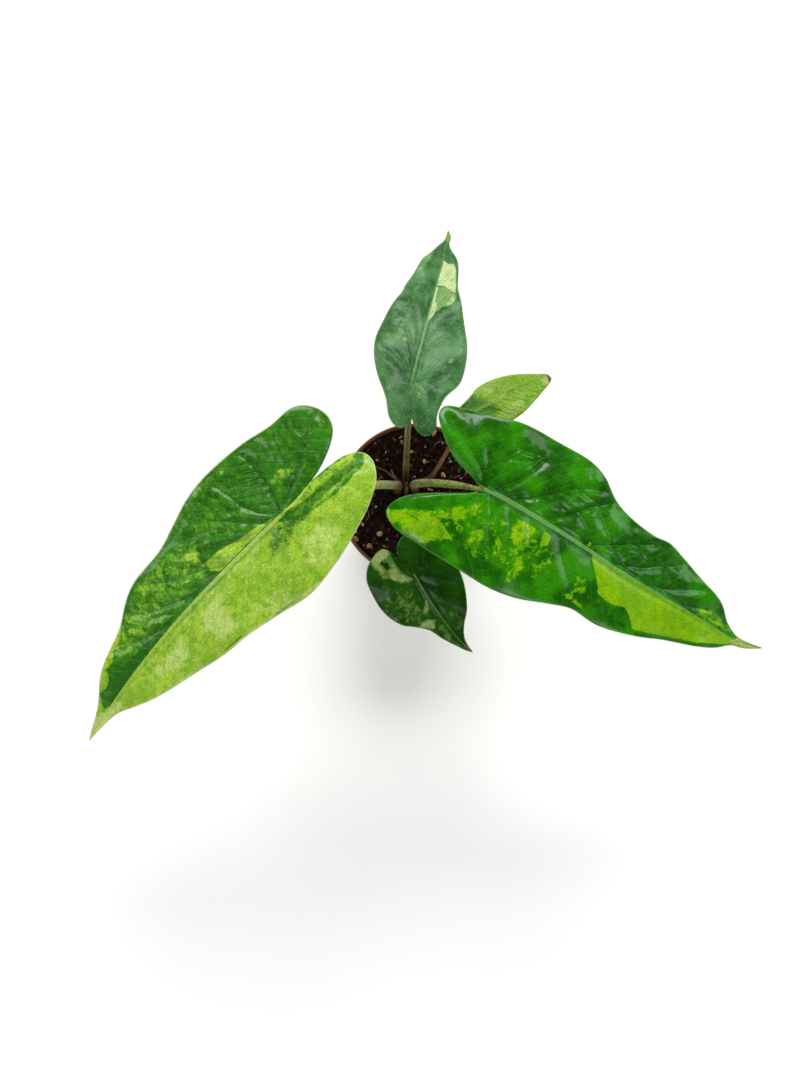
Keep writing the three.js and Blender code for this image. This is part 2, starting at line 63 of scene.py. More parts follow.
# Leaves. An outline point is (along the midrib from the stalk's joint, to the left of it);
# each side runs from the tip round the basal lobe to the notch between the lobes. Heading is the way
# the leaf points, pitch its slope at the joint, and droop and lift say how far its front and its lobes
# bend on from there. puff and cut say how high the tissue swells and how deep the veins sink, in the
# left half and in the right. A side vein is its groove's depth, the groove's width and its points.
LEAVES = {
    "left_leaf": {
        "joint": (-56.3, -15.7, 150), "heading": 223.7, "pitch": 9, "droop": 26.7, "lift": 22,
        "fold": 10, "arch": 7, "length": 145, "lobe": 42, "half_width": 34,
        "tip": (145, 6.8), "notch": (-18.3, -1.4), "fan": 0, "fan_slant": 9,
        "left": [(134, 7.2), (122, 8), (111, 12), (93, 17.6), (75, 21.5), (58, 25), (44, 26.4),
                 (30, 29), (13, 32.3), (-3, 30.5), (-17, 26.6), (-29, 22.3), (-37.5, 17),
                 (-42.3, 9.5), (-41.8, 4.2), (-37.5, 0.6), (-28, -1)],
        "right": [(132, 1.8), (118, -4.6), (104, -10.5), (90, -15.5), (77, -21.3), (66, -24.2),
                  (50, -25.7), (38, -29.2), (24, -32.5), (8, -34), (-8, -33), (-22, -29.6),
                  (-34, -29), (-40, -24.5), (-42.4, -18), (-40.4, -11.8), (-34, -6.8), (-25, -3)],
        "waves": 5, "wave_height": 1.8, "costa_drop": 0.1,
        "midrib": [(0, 0.5), (20, 0.3), (45, 0.2), (60, 0.3), (80, 1), (100, 2.4), (120, 4), (145, 6.8)],
        "minor_veins": (7, 0.9),
        "puff": (0.5, 1.15), "cut": (0.6, 1.1), "rib": 1.5, "rays": 330, "rows": 64,
        "veins": [
            (0.5, 1, [(0, 1.8), (-8, 3.4), (-20, 5), (-30, 6.4), (-36, 9), (-39, 12)]),
            (0.35, 1, [(0, 2), (-5, 9), (-9, 17), (-9, 25)]),
            (0.35, 1, [(1, 2), (3, 10), (5, 19), (8, 28)]),
            (0.35, 1, [(8, 1.5), (14, 10), (20, 18), (28, 25)]),
            (0.35, 1, [(22, 1.5), (30, 9), (38, 16), (46, 21.5)]),
            (0.3, 1, [(38, 1.5), (45, 8), (53, 14), (62, 19.5)]),
            (0.3, 1, [(55, 1.5), (62, 7), (70, 13), (78, 17)]),
            (0.25, 1, [(72, 2), (80, 7.5), (88, 12), (93, 14.5)]),
            (0.3, 1, [(-12, 4), (-18, 10), (-20, 18), (-20, 23)]),
            (0.3, 1, [(-22, 5.5), (-27, 10), (-30, 16)]),
            (0.8, 1, [(0, -1), (-10, -4.5), (-20, -9.5), (-28, -14.5), (-33, -19.5), (-35, -24)]),
            (0.7, 1, [(-20.5, -10), (-20.5, -17), (-22.5, -26)]),
            (0.8, 0.9, [(-26, -13), (-25.2, -19), (-26.5, -26.5)]),
            (0.6, 0.9, [(-30.5, -16.5), (-28.5, -21), (-29.5, -26)]),
            (0.5, 1, [(-15, -7.5), (-14.5, -12), (-18, -20), (-20, -27)]),
            (0.35, 1, [(-9, -5), (-9.5, -14), (-12, -22), (-13, -29)]),
            (1.2, 1.1, [(0, -1), (-3, -8), (-4.4, -15), (-5, -24), (-4.6, -31)]),
            (1.0, 1.1, [(1, -1.5), (6, -7), (9, -13), (10, -20), (12.5, -30)]),
            (1.1, 1.4, [(7, -2), (13, -8), (19, -14.5), (25, -21), (30, -26)]),
            (0.9, 1.3, [(18, -3), (26, -8), (34, -12), (41, -17), (47, -22)]),
            (0.7, 1.3, [(33, -2), (41, -7), (50, -11), (58, -16), (64, -21)]),
            (0.6, 1.2, [(50, -1.5), (60, -6), (70, -10), (79, -16)]),
            (0.5, 1.2, [(68, -1), (80, -4.5), (92, -8.5), (98, -11)]),
            (0.7, 0.8, [(-3.4, -9), (2, -13), (8.6, -17)]),
            (0.7, 0.8, [(-4, -12.5), (2, -16.5), (9.4, -20)]),
            (0.6, 0.8, [(-4.4, -16), (3, -20.5), (9.6, -23)]),
            (0.5, 0.8, [(-4.6, -20), (3, -24.5), (10, -27)]),
            (0.4, 0.8, [(-4.6, -25), (2, -28), (6, -31)]),
            (0.6, 0.8, [(1, -6.5), (5, -10), (8, -12.5)]),
            (0.5, 0.9, [(15.5, -16), (15, -22), (17, -28)]),
            (0.5, 0.9, [(20.4, -18), (19.8, -24), (21.5, -29)]),
            (0.5, 1, [(20, -10), (27, -14), (34, -16)]),
            (0.5, 1, [(24, -14.5), (31, -18.5), (38, -21)]),
            (0.4, 0.9, [(38, -8), (45, -12), (50, -18)]),
            (0.4, 0.9, [(48, -4), (54, -8.5), (57, -14)]),
            (0.4, 0.9, [(64, -3.5), (70, -7), (76, -9)]),
        ],
    },
    "right_leaf": {
        "joint": (25.8, -5.6, 150), "heading": -30, "pitch": 8, "droop": 26, "lift": 22,
        "fold": 6, "arch": 6, "length": 158, "lobe": 31, "half_width": 35,
        "tip": (158, 8.8), "notch": (0, 0), "fan": 6, "fan_slant": 12,
        "left": [(149, 7), (140.5, 6.3), (133, 9), (124.5, 13.4), (108, 17.4), (96, 21.2), (84, 23),
                 (74, 21.6), (63, 23), (52, 26.4), (43, 31.2), (34, 33.9), (18, 34.1), (2, 32.4),
                 (-12, 28.7), (-24, 25.7), (-30.5, 22.5), (-30.8, 18.5), (-26.6, 13.3), (-18, 6.9),
                 (-7, 3.2)],
        "right": [(148, 4), (140.8, 1.9), (132, -2.8), (120, -8.2), (104, -13.7), (88, -19.4),
                  (74, -23), (58, -23.2), (47, -26.8), (36, -31), (22, -33.4), (5, -33.2),
                  (-12, -32.4), (-24, -31.4), (-29.6, -27.5), (-29, -22.5), (-24, -15.9),
                  (-13, -9.2), (-3, -3.2)],
        "waves": 6, "wave_height": 1.8, "costa_drop": 0.3,
        "midrib": [(0, 0.6), (10, 1.4), (30, 1.7), (50, 1.6), (70, 1.2), (100, 2.5), (120, 3.5), (140, 4.5),
                   (158, 8.8)],
        "minor_veins": (6, 0.62),
        "puff": (0.75, 0.35), "cut": (0.9, 0.3), "rib": 1.6, "rays": 330, "rows": 64,
        "veins": [
            (1.0, 1.3, [(0, 1.5), (-3, 5.6), (-10, 10.6), (-19, 15.8), (-26, 19.3), (-29, 21.5)]),
            (0.3, 1.2, [(0, 3), (-4, 12), (-9, 20), (-12, 26)]),
            (0.8, 1.2, [(1, 2.5), (2, 10), (3, 17), (6, 26)]),
            (0.8, 1.3, [(6, 3), (11, 9), (14.5, 16), (18, 26)]),
            (1.4, 1.7, [(13, 3.2), (22, 9.5), (30, 17.5), (37, 22.5), (46, 26.5)]),
            (1.4, 1.7, [(30, 3.4), (37, 10), (45, 18.5), (52, 24)]),
            (1.6, 1.7, [(50, 3.2), (58, 7.5), (68, 13.5), (79, 20.5)]),
            (0.9, 1.4, [(66, 2.6), (76, 7), (88, 14), (96, 19)]),
            (0.7, 1.3, [(84, 2.8), (96, 7), (106, 12.5), (112, 15.5)]),
            (0.6, 1.2, [(102, 3.6), (112, 6.6), (121, 10), (127, 12)]),
            (0.4, 1, [(117, 4.4), (125, 6.4), (132, 8.4)]),
            (0.5, 0.7, [(4, 17), (8, 18.4), (12.5, 21)]),
            (0.4, 0.7, [(5, 22.5), (10, 23.2), (14, 25)]),
            (0.6, 0.7, [(28.5, 16), (34, 16.2), (41, 15.8)]),
            (0.5, 0.7, [(25.5, 13), (31, 13.6), (37, 12.6)]),
            (0.5, 0.8, [(24, 9.5), (30, 10), (35, 9)]),
            (0.5, 0.8, [(35, 20.5), (41, 20.5), (46.5, 20.6)]),
            (0.5, 0.8, [(41, 12.6), (46, 10), (49, 5)]),
            (0.5, 0.8, [(48, 19), (54, 14), (61, 9.5)]),
            (0.5, 0.8, [(60, 8), (66, 6), (70, 4)]),
            (0.5, 0.8, [(70, 14), (77, 11), (84, 11)]),
            (0.4, 0.8, [(88, 13), (94, 10), (100, 9)]),
            (0.9, 1.2, [(0, -1.5), (-4, -8.6), (-10, -13.8), (-18, -19), (-26, -24)]),
            (0.5, 1.1, [(1, -1.5), (3, -9), (3.5, -18), (5, -28)]),
            (0.5, 1.1, [(5, -1.5), (9, -9), (12.5, -17), (15, -26)]),
            (0.6, 1.1, [(14, -1.5), (19, -10), (23, -18), (26, -27)]),
            (0.6, 1.1, [(24, -1.5), (29, -10), (34, -18), (39, -26)]),
            (0.6, 1.1, [(38, -1.2), (44, -8), (51, -14), (58, -19.5)]),
            (0.5, 1, [(54, -1), (60, -7), (65, -12.6), (72, -20)]),
            (0.3, 0.8, [(-6, -12), (-10, -20), (-14, -27)]),
            (0.3, 0.8, [(-14, -18), (-19, -24), (-23, -28)]),
        ],
    },
    "back_leaf": {
        "joint": (-2.9, 41.3, 138), "heading": 76.8, "pitch": 14, "droop": 22, "lift": 24,
        "fold": 6, "arch": 3, "length": 92, "lobe": 21, "half_width": 20,
        "tip": (92, 1.4), "notch": (-14.7, -3.4), "fan": 1, "fan_slant": 7,
        "left": [(87, 1.4), (83, 2), (78.5, 4.6), (68.5, 8.5), (58, 11), (51, 13.3), (44, 14.2),
                 (33, 17.7), (20, 19.8), (11, 19), (0, 14.5), (-10, 8.8), (-17.5, 5.3),
                 (-20.2, 1), (-18.4, -2.2)],
        "right": [(87.5, -0.4), (83, -0.6), (78, -2.4), (67.7, -7.1), (54, -9.7), (42, -13.7),
                  (31, -17.6), (18, -20.4), (6, -20), (-4, -15.2), (-11, -13.8), (-18, -14.3),
                  (-21.2, -11), (-19.5, -6.8)],
        "waves": 5, "wave_height": 1.2, "costa_drop": 0.15,
        "midrib": [(0, 0.1), (30, 0), (60, 0.2), (80, 0.6), (92, 1.4)],
        "minor_veins": (3.2, 1.7),
        "puff": (0.35, 0.35), "cut": (0.8, 0.8), "rib": 1, "rays": 220, "rows": 44,
        "veins": [
            (0.4, 0.8, [(0, 0.6), (-8, 1.6), (-16, 2.4)]),
            (0.4, 0.8, [(0, 1), (3, 5), (6, 9), (9, 14)]),
            (0.4, 0.8, [(1, 1), (9, 6), (13, 11), (16.5, 17)]),
            (0.3, 0.8, [(8, 0.8), (18, 4.6), (26, 8), (33, 14)]),
            (0.3, 0.8, [(20, 0.8), (32, 4.6), (43, 9), (50, 12)]),
            (0.3, 0.8, [(34, 0.8), (46, 4.6), (57, 9)]),
            (0.3, 0.8, [(50, 0.8), (60, 4), (68, 7.4)]),
            (0.9, 0.8, [(0, -0.4), (2.4, -4), (4.4, -9), (9, -14.6)]),
            (0.4, 0.8, [(-1, -1), (-8, -5.4), (-15, -9), (-19, -11.5)]),
            (0.4, 0.7, [(7, -0.6), (14.5, -1.4), (20, -4.6), (26, -10)]),
            (0.25, 0.8, [(22, -0.8), (31, -5), (38, -11)]),
            (0.25, 0.8, [(36, -0.8), (45, -4), (52, -8)]),
            (0.3, 0.7, [(1.6, -3), (-4, -8), (-7, -10.4)]),
        ],
    },
    "small_back_leaf": {
        "joint": (20.7, 31.6, 113), "heading": 25, "pitch": 12, "droop": 16, "lift": 14,
        "fold": 6, "arch": 2, "length": 50, "lobe": 9, "half_width": 11,
        "tip": (50.2, 2.4), "notch": (-3, 0), "fan": 1, "fan_slant": 4,
        "left": [(48.6, 4.3), (44.8, 5.6), (37, 8.5), (28.5, 10.2), (19, 11), (12, 10), (6, 7.2),
                 (0, 4.9), (-5, 4), (-8.2, 2.6), (-6.6, 0.7)],
        "right": [(48.8, 0.8), (44.8, -1.2), (36.4, -4.9), (28, -8.2), (20, -9.6), (11, -9.6),
                  (3, -7.2), (-4, -4.8), (-8.3, -3), (-6.6, -0.7)],
        "waves": 3, "wave_height": 0.6, "costa_drop": 0.1,
        "midrib": [(0, 0), (10, 0.8), (20, 1.2), (30, 2.5), (38, 3.2), (45, 3.1), (50.2, 2.4)],
        "minor_veins": (3, 1.2),
        "puff": (0.25, 0.25), "cut": (0.6, 0.6), "rib": 0.7, "rays": 130, "rows": 30,
        "veins": [
            (0.25, 0.8, [(0, 0.6), (6, 4), (9, 8)]),
            (0.25, 0.8, [(8, 1), (14, 4.6), (19, 9)]),
            (0.25, 0.8, [(18, 1.6), (26, 5), (32, 8.4)]),
            (0.25, 0.8, [(29, 3), (36, 5.4), (41, 6.4)]),
            (0.25, 0.8, [(2, -0.6), (8, -4), (11, -8)]),
            (0.25, 0.8, [(10, 0), (17, -4), (21, -8)]),
            (0.25, 0.8, [(21, 0.6), (28, -3), (33, -5.6)]),
            (0.25, 0.8, [(30, 2), (36, -0.6), (41, -2)]),
        ],
    },
    "small_front_leaf": {
        "joint": (-2, -38.2, 106), "heading": -53, "pitch": 18, "droop": 24, "lift": 20,
        "fold": 8, "arch": 3, "length": 52, "lobe": 17, "half_width": 20,
        "tip": (52.3, 1.4), "notch": (-7.7, -0.9), "fan": 1, "fan_slant": 6,
        "left": [(47.5, 1.2), (42.7, 1.9), (36, 5.6), (28, 11.4), (19, 16.4), (10.3, 18.4),
                 (1, 18.7), (-8, 17), (-14.3, 12.5), (-16.6, 7.5), (-14.9, 2.4), (-11, 0)],
        "right": [(48.5, -0.8), (43, -3.2), (34, -6.4), (27, -8.8), (21.6, -13), (16, -17.6),
                  (7, -20.7), (-3, -20.2), (-11, -18), (-15.8, -12.8), (-17.6, -5), (-15.5, -2.6)],
        "waves": 4, "wave_height": 0.9, "costa_drop": 0.15,
        "midrib": [(0, 0.4), (6, -0.2), (15, -0.9), (30, -1), (42, -0.4), (52.3, 1.4)],
        "minor_veins": (4, 1.1),
        "puff": (0.3, 0.3), "cut": (0.6, 0.6), "rib": 0.8, "rays": 150, "rows": 34,
        "veins": [
            (0.3, 0.8, [(0, 1), (2, 8), (4, 16)]),
            (0.3, 0.8, [(3, 0.6), (12, 6), (18, 13), (20, 15.5)]),
            (0.3, 0.8, [(14, 0), (22, 4.4), (30, 8.4)]),
            (0.3, 0.8, [(-1, 1), (-7, 6), (-12, 11)]),
            (0.3, 0.8, [(0, -1), (1, -8), (3, -17)]),
            (0.3, 0.8, [(5, -1.4), (12, -8), (16, -15)]),
            (0.3, 0.8, [(14, -2), (20, -6), (24, -9)]),
            (0.3, 0.8, [(-1, -1.6), (-7, -8), (-12, -14)]),
            (0.25, 0.8, [(27, -2), (34, -4.6)]),
        ],
    },
}

# Variegation, as patches on the flat leaf: how strong, how soft its edge is, and its corners.
# Lime and cream patches lie over the leaf's green, deep ones bring dark green back over them, and dead
# ones are dry and brown.
PATCHES = {
    "left_leaf": {
        "lime": [
            (1, 2.5, [(-44, 3), (-38, 9), (-22, 10), (-8, 8), (0, 4), (4, 0.6), (40, 0.5), (80, 0.8),
                      (100, 1.8), (112, 3), (120, 4), (124, 2.6), (132, 0), (148, 4), (148, 10),
                      (130, 10), (110, 16), (80, 25), (45, 30), (10, 36), (-20, 30), (-46, 14)]),
            (0.62, 4, [(-42, 0), (-36, 9), (-20, 10), (-6, 8), (0, 3), (-6, 0), (-20, -2), (-38, -1)]),
            (1, 1, [(2, -0.6), (20, -1), (35, -1), (38, -4), (37, -8), (30, -7.4), (18, -4.6), (8, -2.6)]),
            (0.62, 3, [(36, -12), (41, -11.6), (45, -14), (46, -17), (41, -18.5), (37, -18)]),
            (0.5, 3, [(40, -1.5), (44, -2), (44, -9), (41, -10)]),
            (0.9, 2, [(82, -19), (92, -11.5), (97, -11), (100, -8), (105, -7.5), (109, -4), (114, -2.6),
                      (119, -3.4), (124, 3.2), (134, 1), (124, -4), (117, -8), (104, -13), (94, -17)]),
            (0.5, 3, [(60, -7), (72, -8), (88, -6), (98, -4), (98, -13), (84, -17), (70, -16), (58, -12)]),
            (0.46, 5, [(38, -4), (60, -3), (90, -2), (100, -6), (90, -16), (70, -23), (44, -26), (34, -16)]),
            (0.34, 5, [(10, -6), (20, -8), (34, -10), (34, -28), (10, -32), (6, -20)]),
            (0.46, 5, [(-42, -14), (-36, -12), (-36, -24), (-40, -24)]),
            (0.45, 5, [(4, -28), (20, -29), (36, -27), (50, -24), (48, -27), (34, -31), (16, -34), (4, -35)]),
            (0.5, 4, [(-18, -9), (-6, -8), (-5, -14), (-12, -15), (-18, -12)]),
            (1, 0.8, [(-18, -0.6), (-12, 0.8), (-6, 1.4), (-1, 0.6), (-2, -0.4), (-8, 0.2), (-18, -1.4)]),
        ],
        "cream": [
            (0.7, 8, [(40, 4), (56, 4), (60, 12), (54, 22), (44, 24), (42, 12)]),
            (0.6, 10, [(-12, 12), (2, 12), (8, 20), (8, 30), (-6, 29), (-16, 22)]),
            (0.58, 10, [(14, 24), (40, 14), (40, 24), (20, 31)]),
            (0.64, 9, [(64, 4), (90, 5), (92, 14), (70, 19)]),
            (0.6, 2, [(-2, 33), (16, 29), (34, 26.4), (48, 24), (62, 22.4), (76, 19.4), (96, 14.4), (97, 16),
                      (76, 21.4), (50, 26), (16, 31.6), (-2, 35)]),
            (0.8, 5, [(112, 5), (122, 4), (134, 0), (148, 4), (148, 9), (128, 9), (116, 9)]),
            (1, 3, [(90, -17), (98, -13), (108, -9.6), (116, -6.4), (124, -2), (124, -5), (106, -14),
                    (92, -18)]),
            (0.75, 1.4, [(-18, -0.6), (-12, 0.8), (-6, 1.4), (-1, 0.6), (-2, -0.4), (-8, 0.2), (-18, -1.4)]),
            (0.5, 4, [(26, -2.4), (36, -2), (37, -6.6), (30, -6.4)]),
        ],
        "deep": [
            (0.62, 2.5, [(3, 0.4), (-4, 1.2), (-14, 2.2), (-26, 2.4), (-37, 4), (-38, 8), (-30, 8.4),
                         (-20, 7.4), (-12, 8), (-4, 9.4), (3, 8)]),
            (0.75, 1, [(14, 30.8), (22, 29.8), (34, 28), (33, 27.4), (22, 28.8)]),
            (0.75, 1, [(41, 26), (50, 25), (60, 23.9), (57, 23.5), (48, 24.1)]),
            (0.5, 1, [(62, 23.2), (74, 20.9), (88, 17.6), (86, 17.3), (72, 20.4)]),
            (0.8, 2, [(74, 0.4), (90, 1), (104, 2.2), (118, 4), (119, 3), (112, -1), (104, -4), (90, -3),
                      (78, -2)]),
            (0.6, 5, [(-2, 2), (8, 2), (14, 5), (15, 11), (6, 13), (-2, 9)]),
        ],
        "dead": [(1, 0.8, [(146.6, 5), (152, 5.6), (152, 12), (146.8, 11)])],
    },
    "right_leaf": {
        "lime": [
            (1, 0.8, [(54, 1), (58, -3.4), (62.5, -8), (65, -11.6), (69, -12.6), (75, -12.2), (79, -10.8),
                      (83, -13.4), (87, -17), (96, -14.4), (106, -11.2), (120, -6.4), (131, -1.6), (139, 1.6),
                      (160, 6), (160, 10), (146, 7.6), (138, 4.2), (120, 3.2), (100, 2.4), (84, 1.3),
                      (70, 1.1)]),
            (0.72, 2.6, [(-31, -27), (-22, -22), (-13, -18), (-6, -20), (0, -24), (-5, -27), (-9, -31),
                         (-28, -31)]),
            (0.64, 1.6, [(-15, -19), (-5, -11), (3, -4), (5, -8), (1, -14), (-6, -18), (-10, -19.5)]),
            (0.68, 2.4, [(19, -2), (28, -2), (27.6, -9), (28, -14), (22, -13), (18, -8)]),
            (0.95, 1, [(31, -1.6), (34.6, -1.8), (35, -6), (32.6, -8.6), (31.4, -5)]),
            (0.6, 1.4, [(15, -15), (18, -14.4), (19.6, -19), (17, -22), (14.6, -19)]),
            (0.66, 2, [(4, -15), (10, -14), (11, -21), (5, -22)]),
            (0.56, 2.4, [(26, -17), (31, -15), (32, -26), (27, -28)]),
            (0.55, 3, [(52, -10), (58, -8.6), (60, -15), (54, -18)]),
            (0.5, 2, [(50, -17.6), (60, -18.6), (66, -21), (58, -21.6), (50, -20)]),
            (0.33, 6, [(-12, -12), (4, -4), (36, -4), (44, -12), (36, -24), (10, -27), (-6, -26)]),
            (0.55, 3, [(112, 3.6), (128, 4.4), (140, 5), (133, 8), (122, 10), (112, 7.4)]),
            (1, 0.5, [(50.8, 3.2), (52.4, 3.2), (52.4, 5), (50.8, 5)]),
        ],
        "cream": [
            (1, 3, [(137, 2.4), (148, 4.4), (160, 7), (160, 10), (148, 7.4), (140, 5.8)]),
            (0.62, 0.6, [(50.9, 3.4), (52.2, 3.4), (52.2, 4.8), (50.9, 4.8)]),
        ],
        "deep": [
            (1, 1, [(89, -19.8), (100, -15.9), (112, -12), (124, -7.6), (133, -3.2), (133, -1.6), (124, -5.8),
                    (112, -10.2), (100, -14.2), (89, -17.4)]),
            (0.8, 6, [(58, 6), (76, 2.4), (112, 3.4), (100, 14), (86, 22), (62, 21)]),
            (0.7, 3, [(64, -13), (76, -13), (86, -18.6), (76, -21.4), (66, -18)]),
        ],
    },
    "back_leaf": {
        "lime": [
            (0.9, 1.4, [(30, 0.2), (38, 0.2), (44, -1), (52, -1), (53, -6), (48, -10), (43, -9), (41, -5),
                        (36, -2)]),
            (0.6, 4, [(56, 9.6), (62, 6), (76, 4), (74, 8), (64, 11)]),
            (1, 2, [(83, -0.6), (94, 0.4), (94, 2.4), (84, 2.2)]),
            (0.36, 5, [(10, 12), (24, 5), (44, 6), (60, 4), (60, 9), (40, 13), (20, 18)]),
            (0.42, 5, [(10, -18), (26, -14), (44, -11), (36, -15), (20, -20)]),
            (0.9, 0.8, [(18.8, 6.4), (20.6, 6.6), (20.8, 8.6), (19, 8.4)]),
            (0.9, 0.8, [(13, -13), (15, -13.4), (15.6, -15), (13.6, -14.8)]),
            (0.8, 0.8, [(-6, -3.6), (-3.4, -3.8), (-3.4, -5), (-6, -5)]),
        ],
        "cream": [
            (1, 0.7, [(52.6, -0.2), (70, -0.2), (67.4, -2.6), (67.6, -5), (64.6, -7), (56, -8.4), (50.6, -9),
                      (52, -6), (53.4, -3)]),
            (0.95, 0.8, [(30, 0.3), (40, 0.2), (52, 0), (52, -0.9), (44, -1.2), (40.4, -3), (35, -1.8)]),
            (0.6, 2, [(42, -6), (46, -6.6), (50.4, -9), (45, -10.2), (42.4, -9)]),
        ],
        "deep": [
            (1, 3, [(-8, -9), (2, -6), (8, -9), (9, -14), (2, -12.6), (-6, -12)]),
            (1, 5, [(-6, 2), (4, 0.4), (16, 8), (14, 16), (2, 11), (-6, 8)]),
            (0.8, 1, [(44, -11.6), (56, -9.8), (68, -7.6), (78, -2.6), (78, -1.2), (67, -5.9), (56, -8.7),
                      (46, -10.3)]),
            (0.9, 2, [(70, 0), (84, 0.6), (80, 3.6), (72, 4)]),
        ],
    },
    "small_back_leaf": {
        "lime": [(1, 6, [(-10, -12), (52, -12), (52, 13), (-10, 13)])],
        "cream": [
            (0.6, 4, [(11, 4), (19, 3.6), (20, 9), (13, 10)]),
            (0.55, 4, [(22, -1), (32, -1), (31, -6), (22, -6.4)]),
            (0.5, 2, [(17, -4), (20, -4), (20, -8), (17, -8)]),
            (0.7, 2.5, [(43, -1), (51, -1), (51, 5), (43, 4)]),
        ],
        "deep": [
            (0.85, 7, [(-10, -3), (4, -4), (14, -6), (19, -3), (14, 3), (8, 9), (-2, 7), (-10, 4)]),
            (0.6, 2.6, [(22, 1.6), (34, 2.6), (44, 3.2), (44, 4.2), (32, 4.4), (24, 4)]),
            (0.5, 2.4, [(32, 0), (39, -3), (36, -4.4), (31, -2)]),
        ],
        "dead": [(0.75, 2, [(47.4, -2), (52, -2), (52, 6), (47.6, 5)])],
    },
    "small_front_leaf": {
        "lime": [
            (0.9, 1.2, [(-18, -2), (-10, -3.4), (-4, -3.6), (1.6, -1), (2, -4), (-1, -8), (-5, -9.4),
                        (-7, -12.4), (-11, -12), (-14, -13), (-18, -12)]),
            (0.8, 1.4, [(13, -1.8), (18, -3), (20, -6), (17.4, -7.4), (15, -4.6)]),
            (0.75, 1.6, [(20.6, -6.6), (24, -3.8), (27.4, -6), (26.6, -9), (22, -12.6)]),
            (0.55, 3, [(28, -2), (40, -1.6), (48, 0), (46, -2.6), (34, -6.4), (28, -6)]),
            (0.48, 5, [(2, -4), (18, -6), (22, -10), (14, -18), (4, -20), (-4, -14)]),
            (0.4, 4, [(24, 2), (40, 1), (42, 3), (32, 8), (24, 8)]),
        ],
        "cream": [
            (0.95, 1.6, [(-18, -2.6), (-14, -3.6), (-13, -6), (-13, -9.6), (-9, -9.4), (-7.6, -11.6),
                         (-12, -11), (-14, -12.4), (-18, -11)]),
            (0.8, 1.6, [(-13, -4.4), (-4, -4.4), (1.4, -1.6), (1, -5), (-3, -8.8), (-8, -8.6), (-8, -5.6)]),
            (0.72, 1.2, [(12.6, -1.8), (16, -2.2), (19.6, -5.4), (17.4, -6.2), (15, -3.8)]),
            (0.72, 1.4, [(21, -6.6), (24, -3.8), (27.6, -6.6), (26, -9), (22, -12)]),
            (0.55, 2, [(4, -17.6), (12, -17.4), (17, -16), (12, -19.4), (5, -20.4)]),
        ],
        "deep": [
            (0.9, 0.8, [(-13.6, -8), (-11, -6), (-8.6, -6.4), (-8.4, -8.4), (-10.6, -8.8), (-12.6, -9)]),
            (0.7, 1.6, [(-12, -1.6), (-6, -2.4), (1, -0.6), (-2, -3.2), (-9, -3.6)]),
        ],
        "dead": [
            (0.5, 2, [(28, 6), (33, 7), (33, 9.6), (29, 9.6)]),
            (0.6, 1, [(45, -1), (50, -1), (50, 2), (45, 1)]),
        ],
    },
}

# Stalks: the points that each follows from its foot to below its blade, and its two half-widths
STALKS = {
    "left_leaf": ((2.2, 1.55), [(-8.9, 5, 57), (-8.6, 4.6, 75), (-8.4, 2.2, 104), (-10.4, -0.8, 127),
                                (-18.5, -2.9, 142), (-34, -7, 147.6)]),
    "right_leaf": ((2.25, 1.5), [(-0.2, 5, 57), (-0.8, 4.6, 75), (-1.6, 2.4, 104), (0, 0.3, 124),
                                (6.4, -1.3, 137.5), (17, -3.4, 145.4)]),
    "back_leaf": ((1.7, 1.15), [(-5, 9.4, 57), (-5.1, 9.7, 72), (-4.9, 14.6, 98), (-4.4, 23.6, 120),
                               (-3.6, 33, 132)]),
    "small_back_leaf": ((1.15, 0.85), [(0.8, 9.5, 57), (1.2, 9.4, 64), (3.6, 9.2, 70), (7.3, 10.4, 77),
                                     (15.2, 21.5, 95)]),
    "small_front_leaf": ((1.3, 0.95), [(-3.6, -0.9, 57), (-3.8, -1.2, 68), (-3.9, -6.4, 84),
                                      (-3.5, -18, 97.5), (-2.6, -29, 104)]),
}

BLADE_THICKNESS = 0.5
GROOVE_LIMIT = 1.4  # the side veins' grooves level off at this depth
RELIEF_END = 0.84  # the share of the way to the margin where the relief begins to fade
FRONT_SHARE = 0.64  # the share of a half blade's rays that stand on the midrib, and not on the joint
# A blade's own map holds its flat leaf, moved by FLAT_SHIFT and divided by FLAT_SPAN
FLAT_SHIFT = 50
FLAT_SPAN = 210

# Where the corm and its sheath stand
CROWN = (-4.6, 4.4)
SHEATH = (-4.75, 3.4)
SHEATH_HALF_WIDTHS = (1.1, 1.9)

# Pot and mix
BASE_RADIUS = 26
WALL = 0.8
LIP_STEP = 0.5
LIP_WIDTH = 1.1
LIP_DEPTH = 6
LIP_UNDERCUT = 0.8
LIP_INSIDE_DEPTH = 1.5
EDGE_ROUND = 0.35
FLOOR_TOP = 1.6
HOLES = 6
HOLE_RING = 18
HOLE_RADIUS = 3
MIX_LEVEL = 65.8

# Grains lie this far out at most, and this far from the corm's middle at least
GRAIN_REACH = 34
CROWN_CLEARANCE = 8


def smooth(x, low, high):
    """Eases from 0 to 1 as x goes from low to high."""
    t = np.clip((x - low) / (high - low), 0, 1)
    return t * t * (3 - 2 * t)


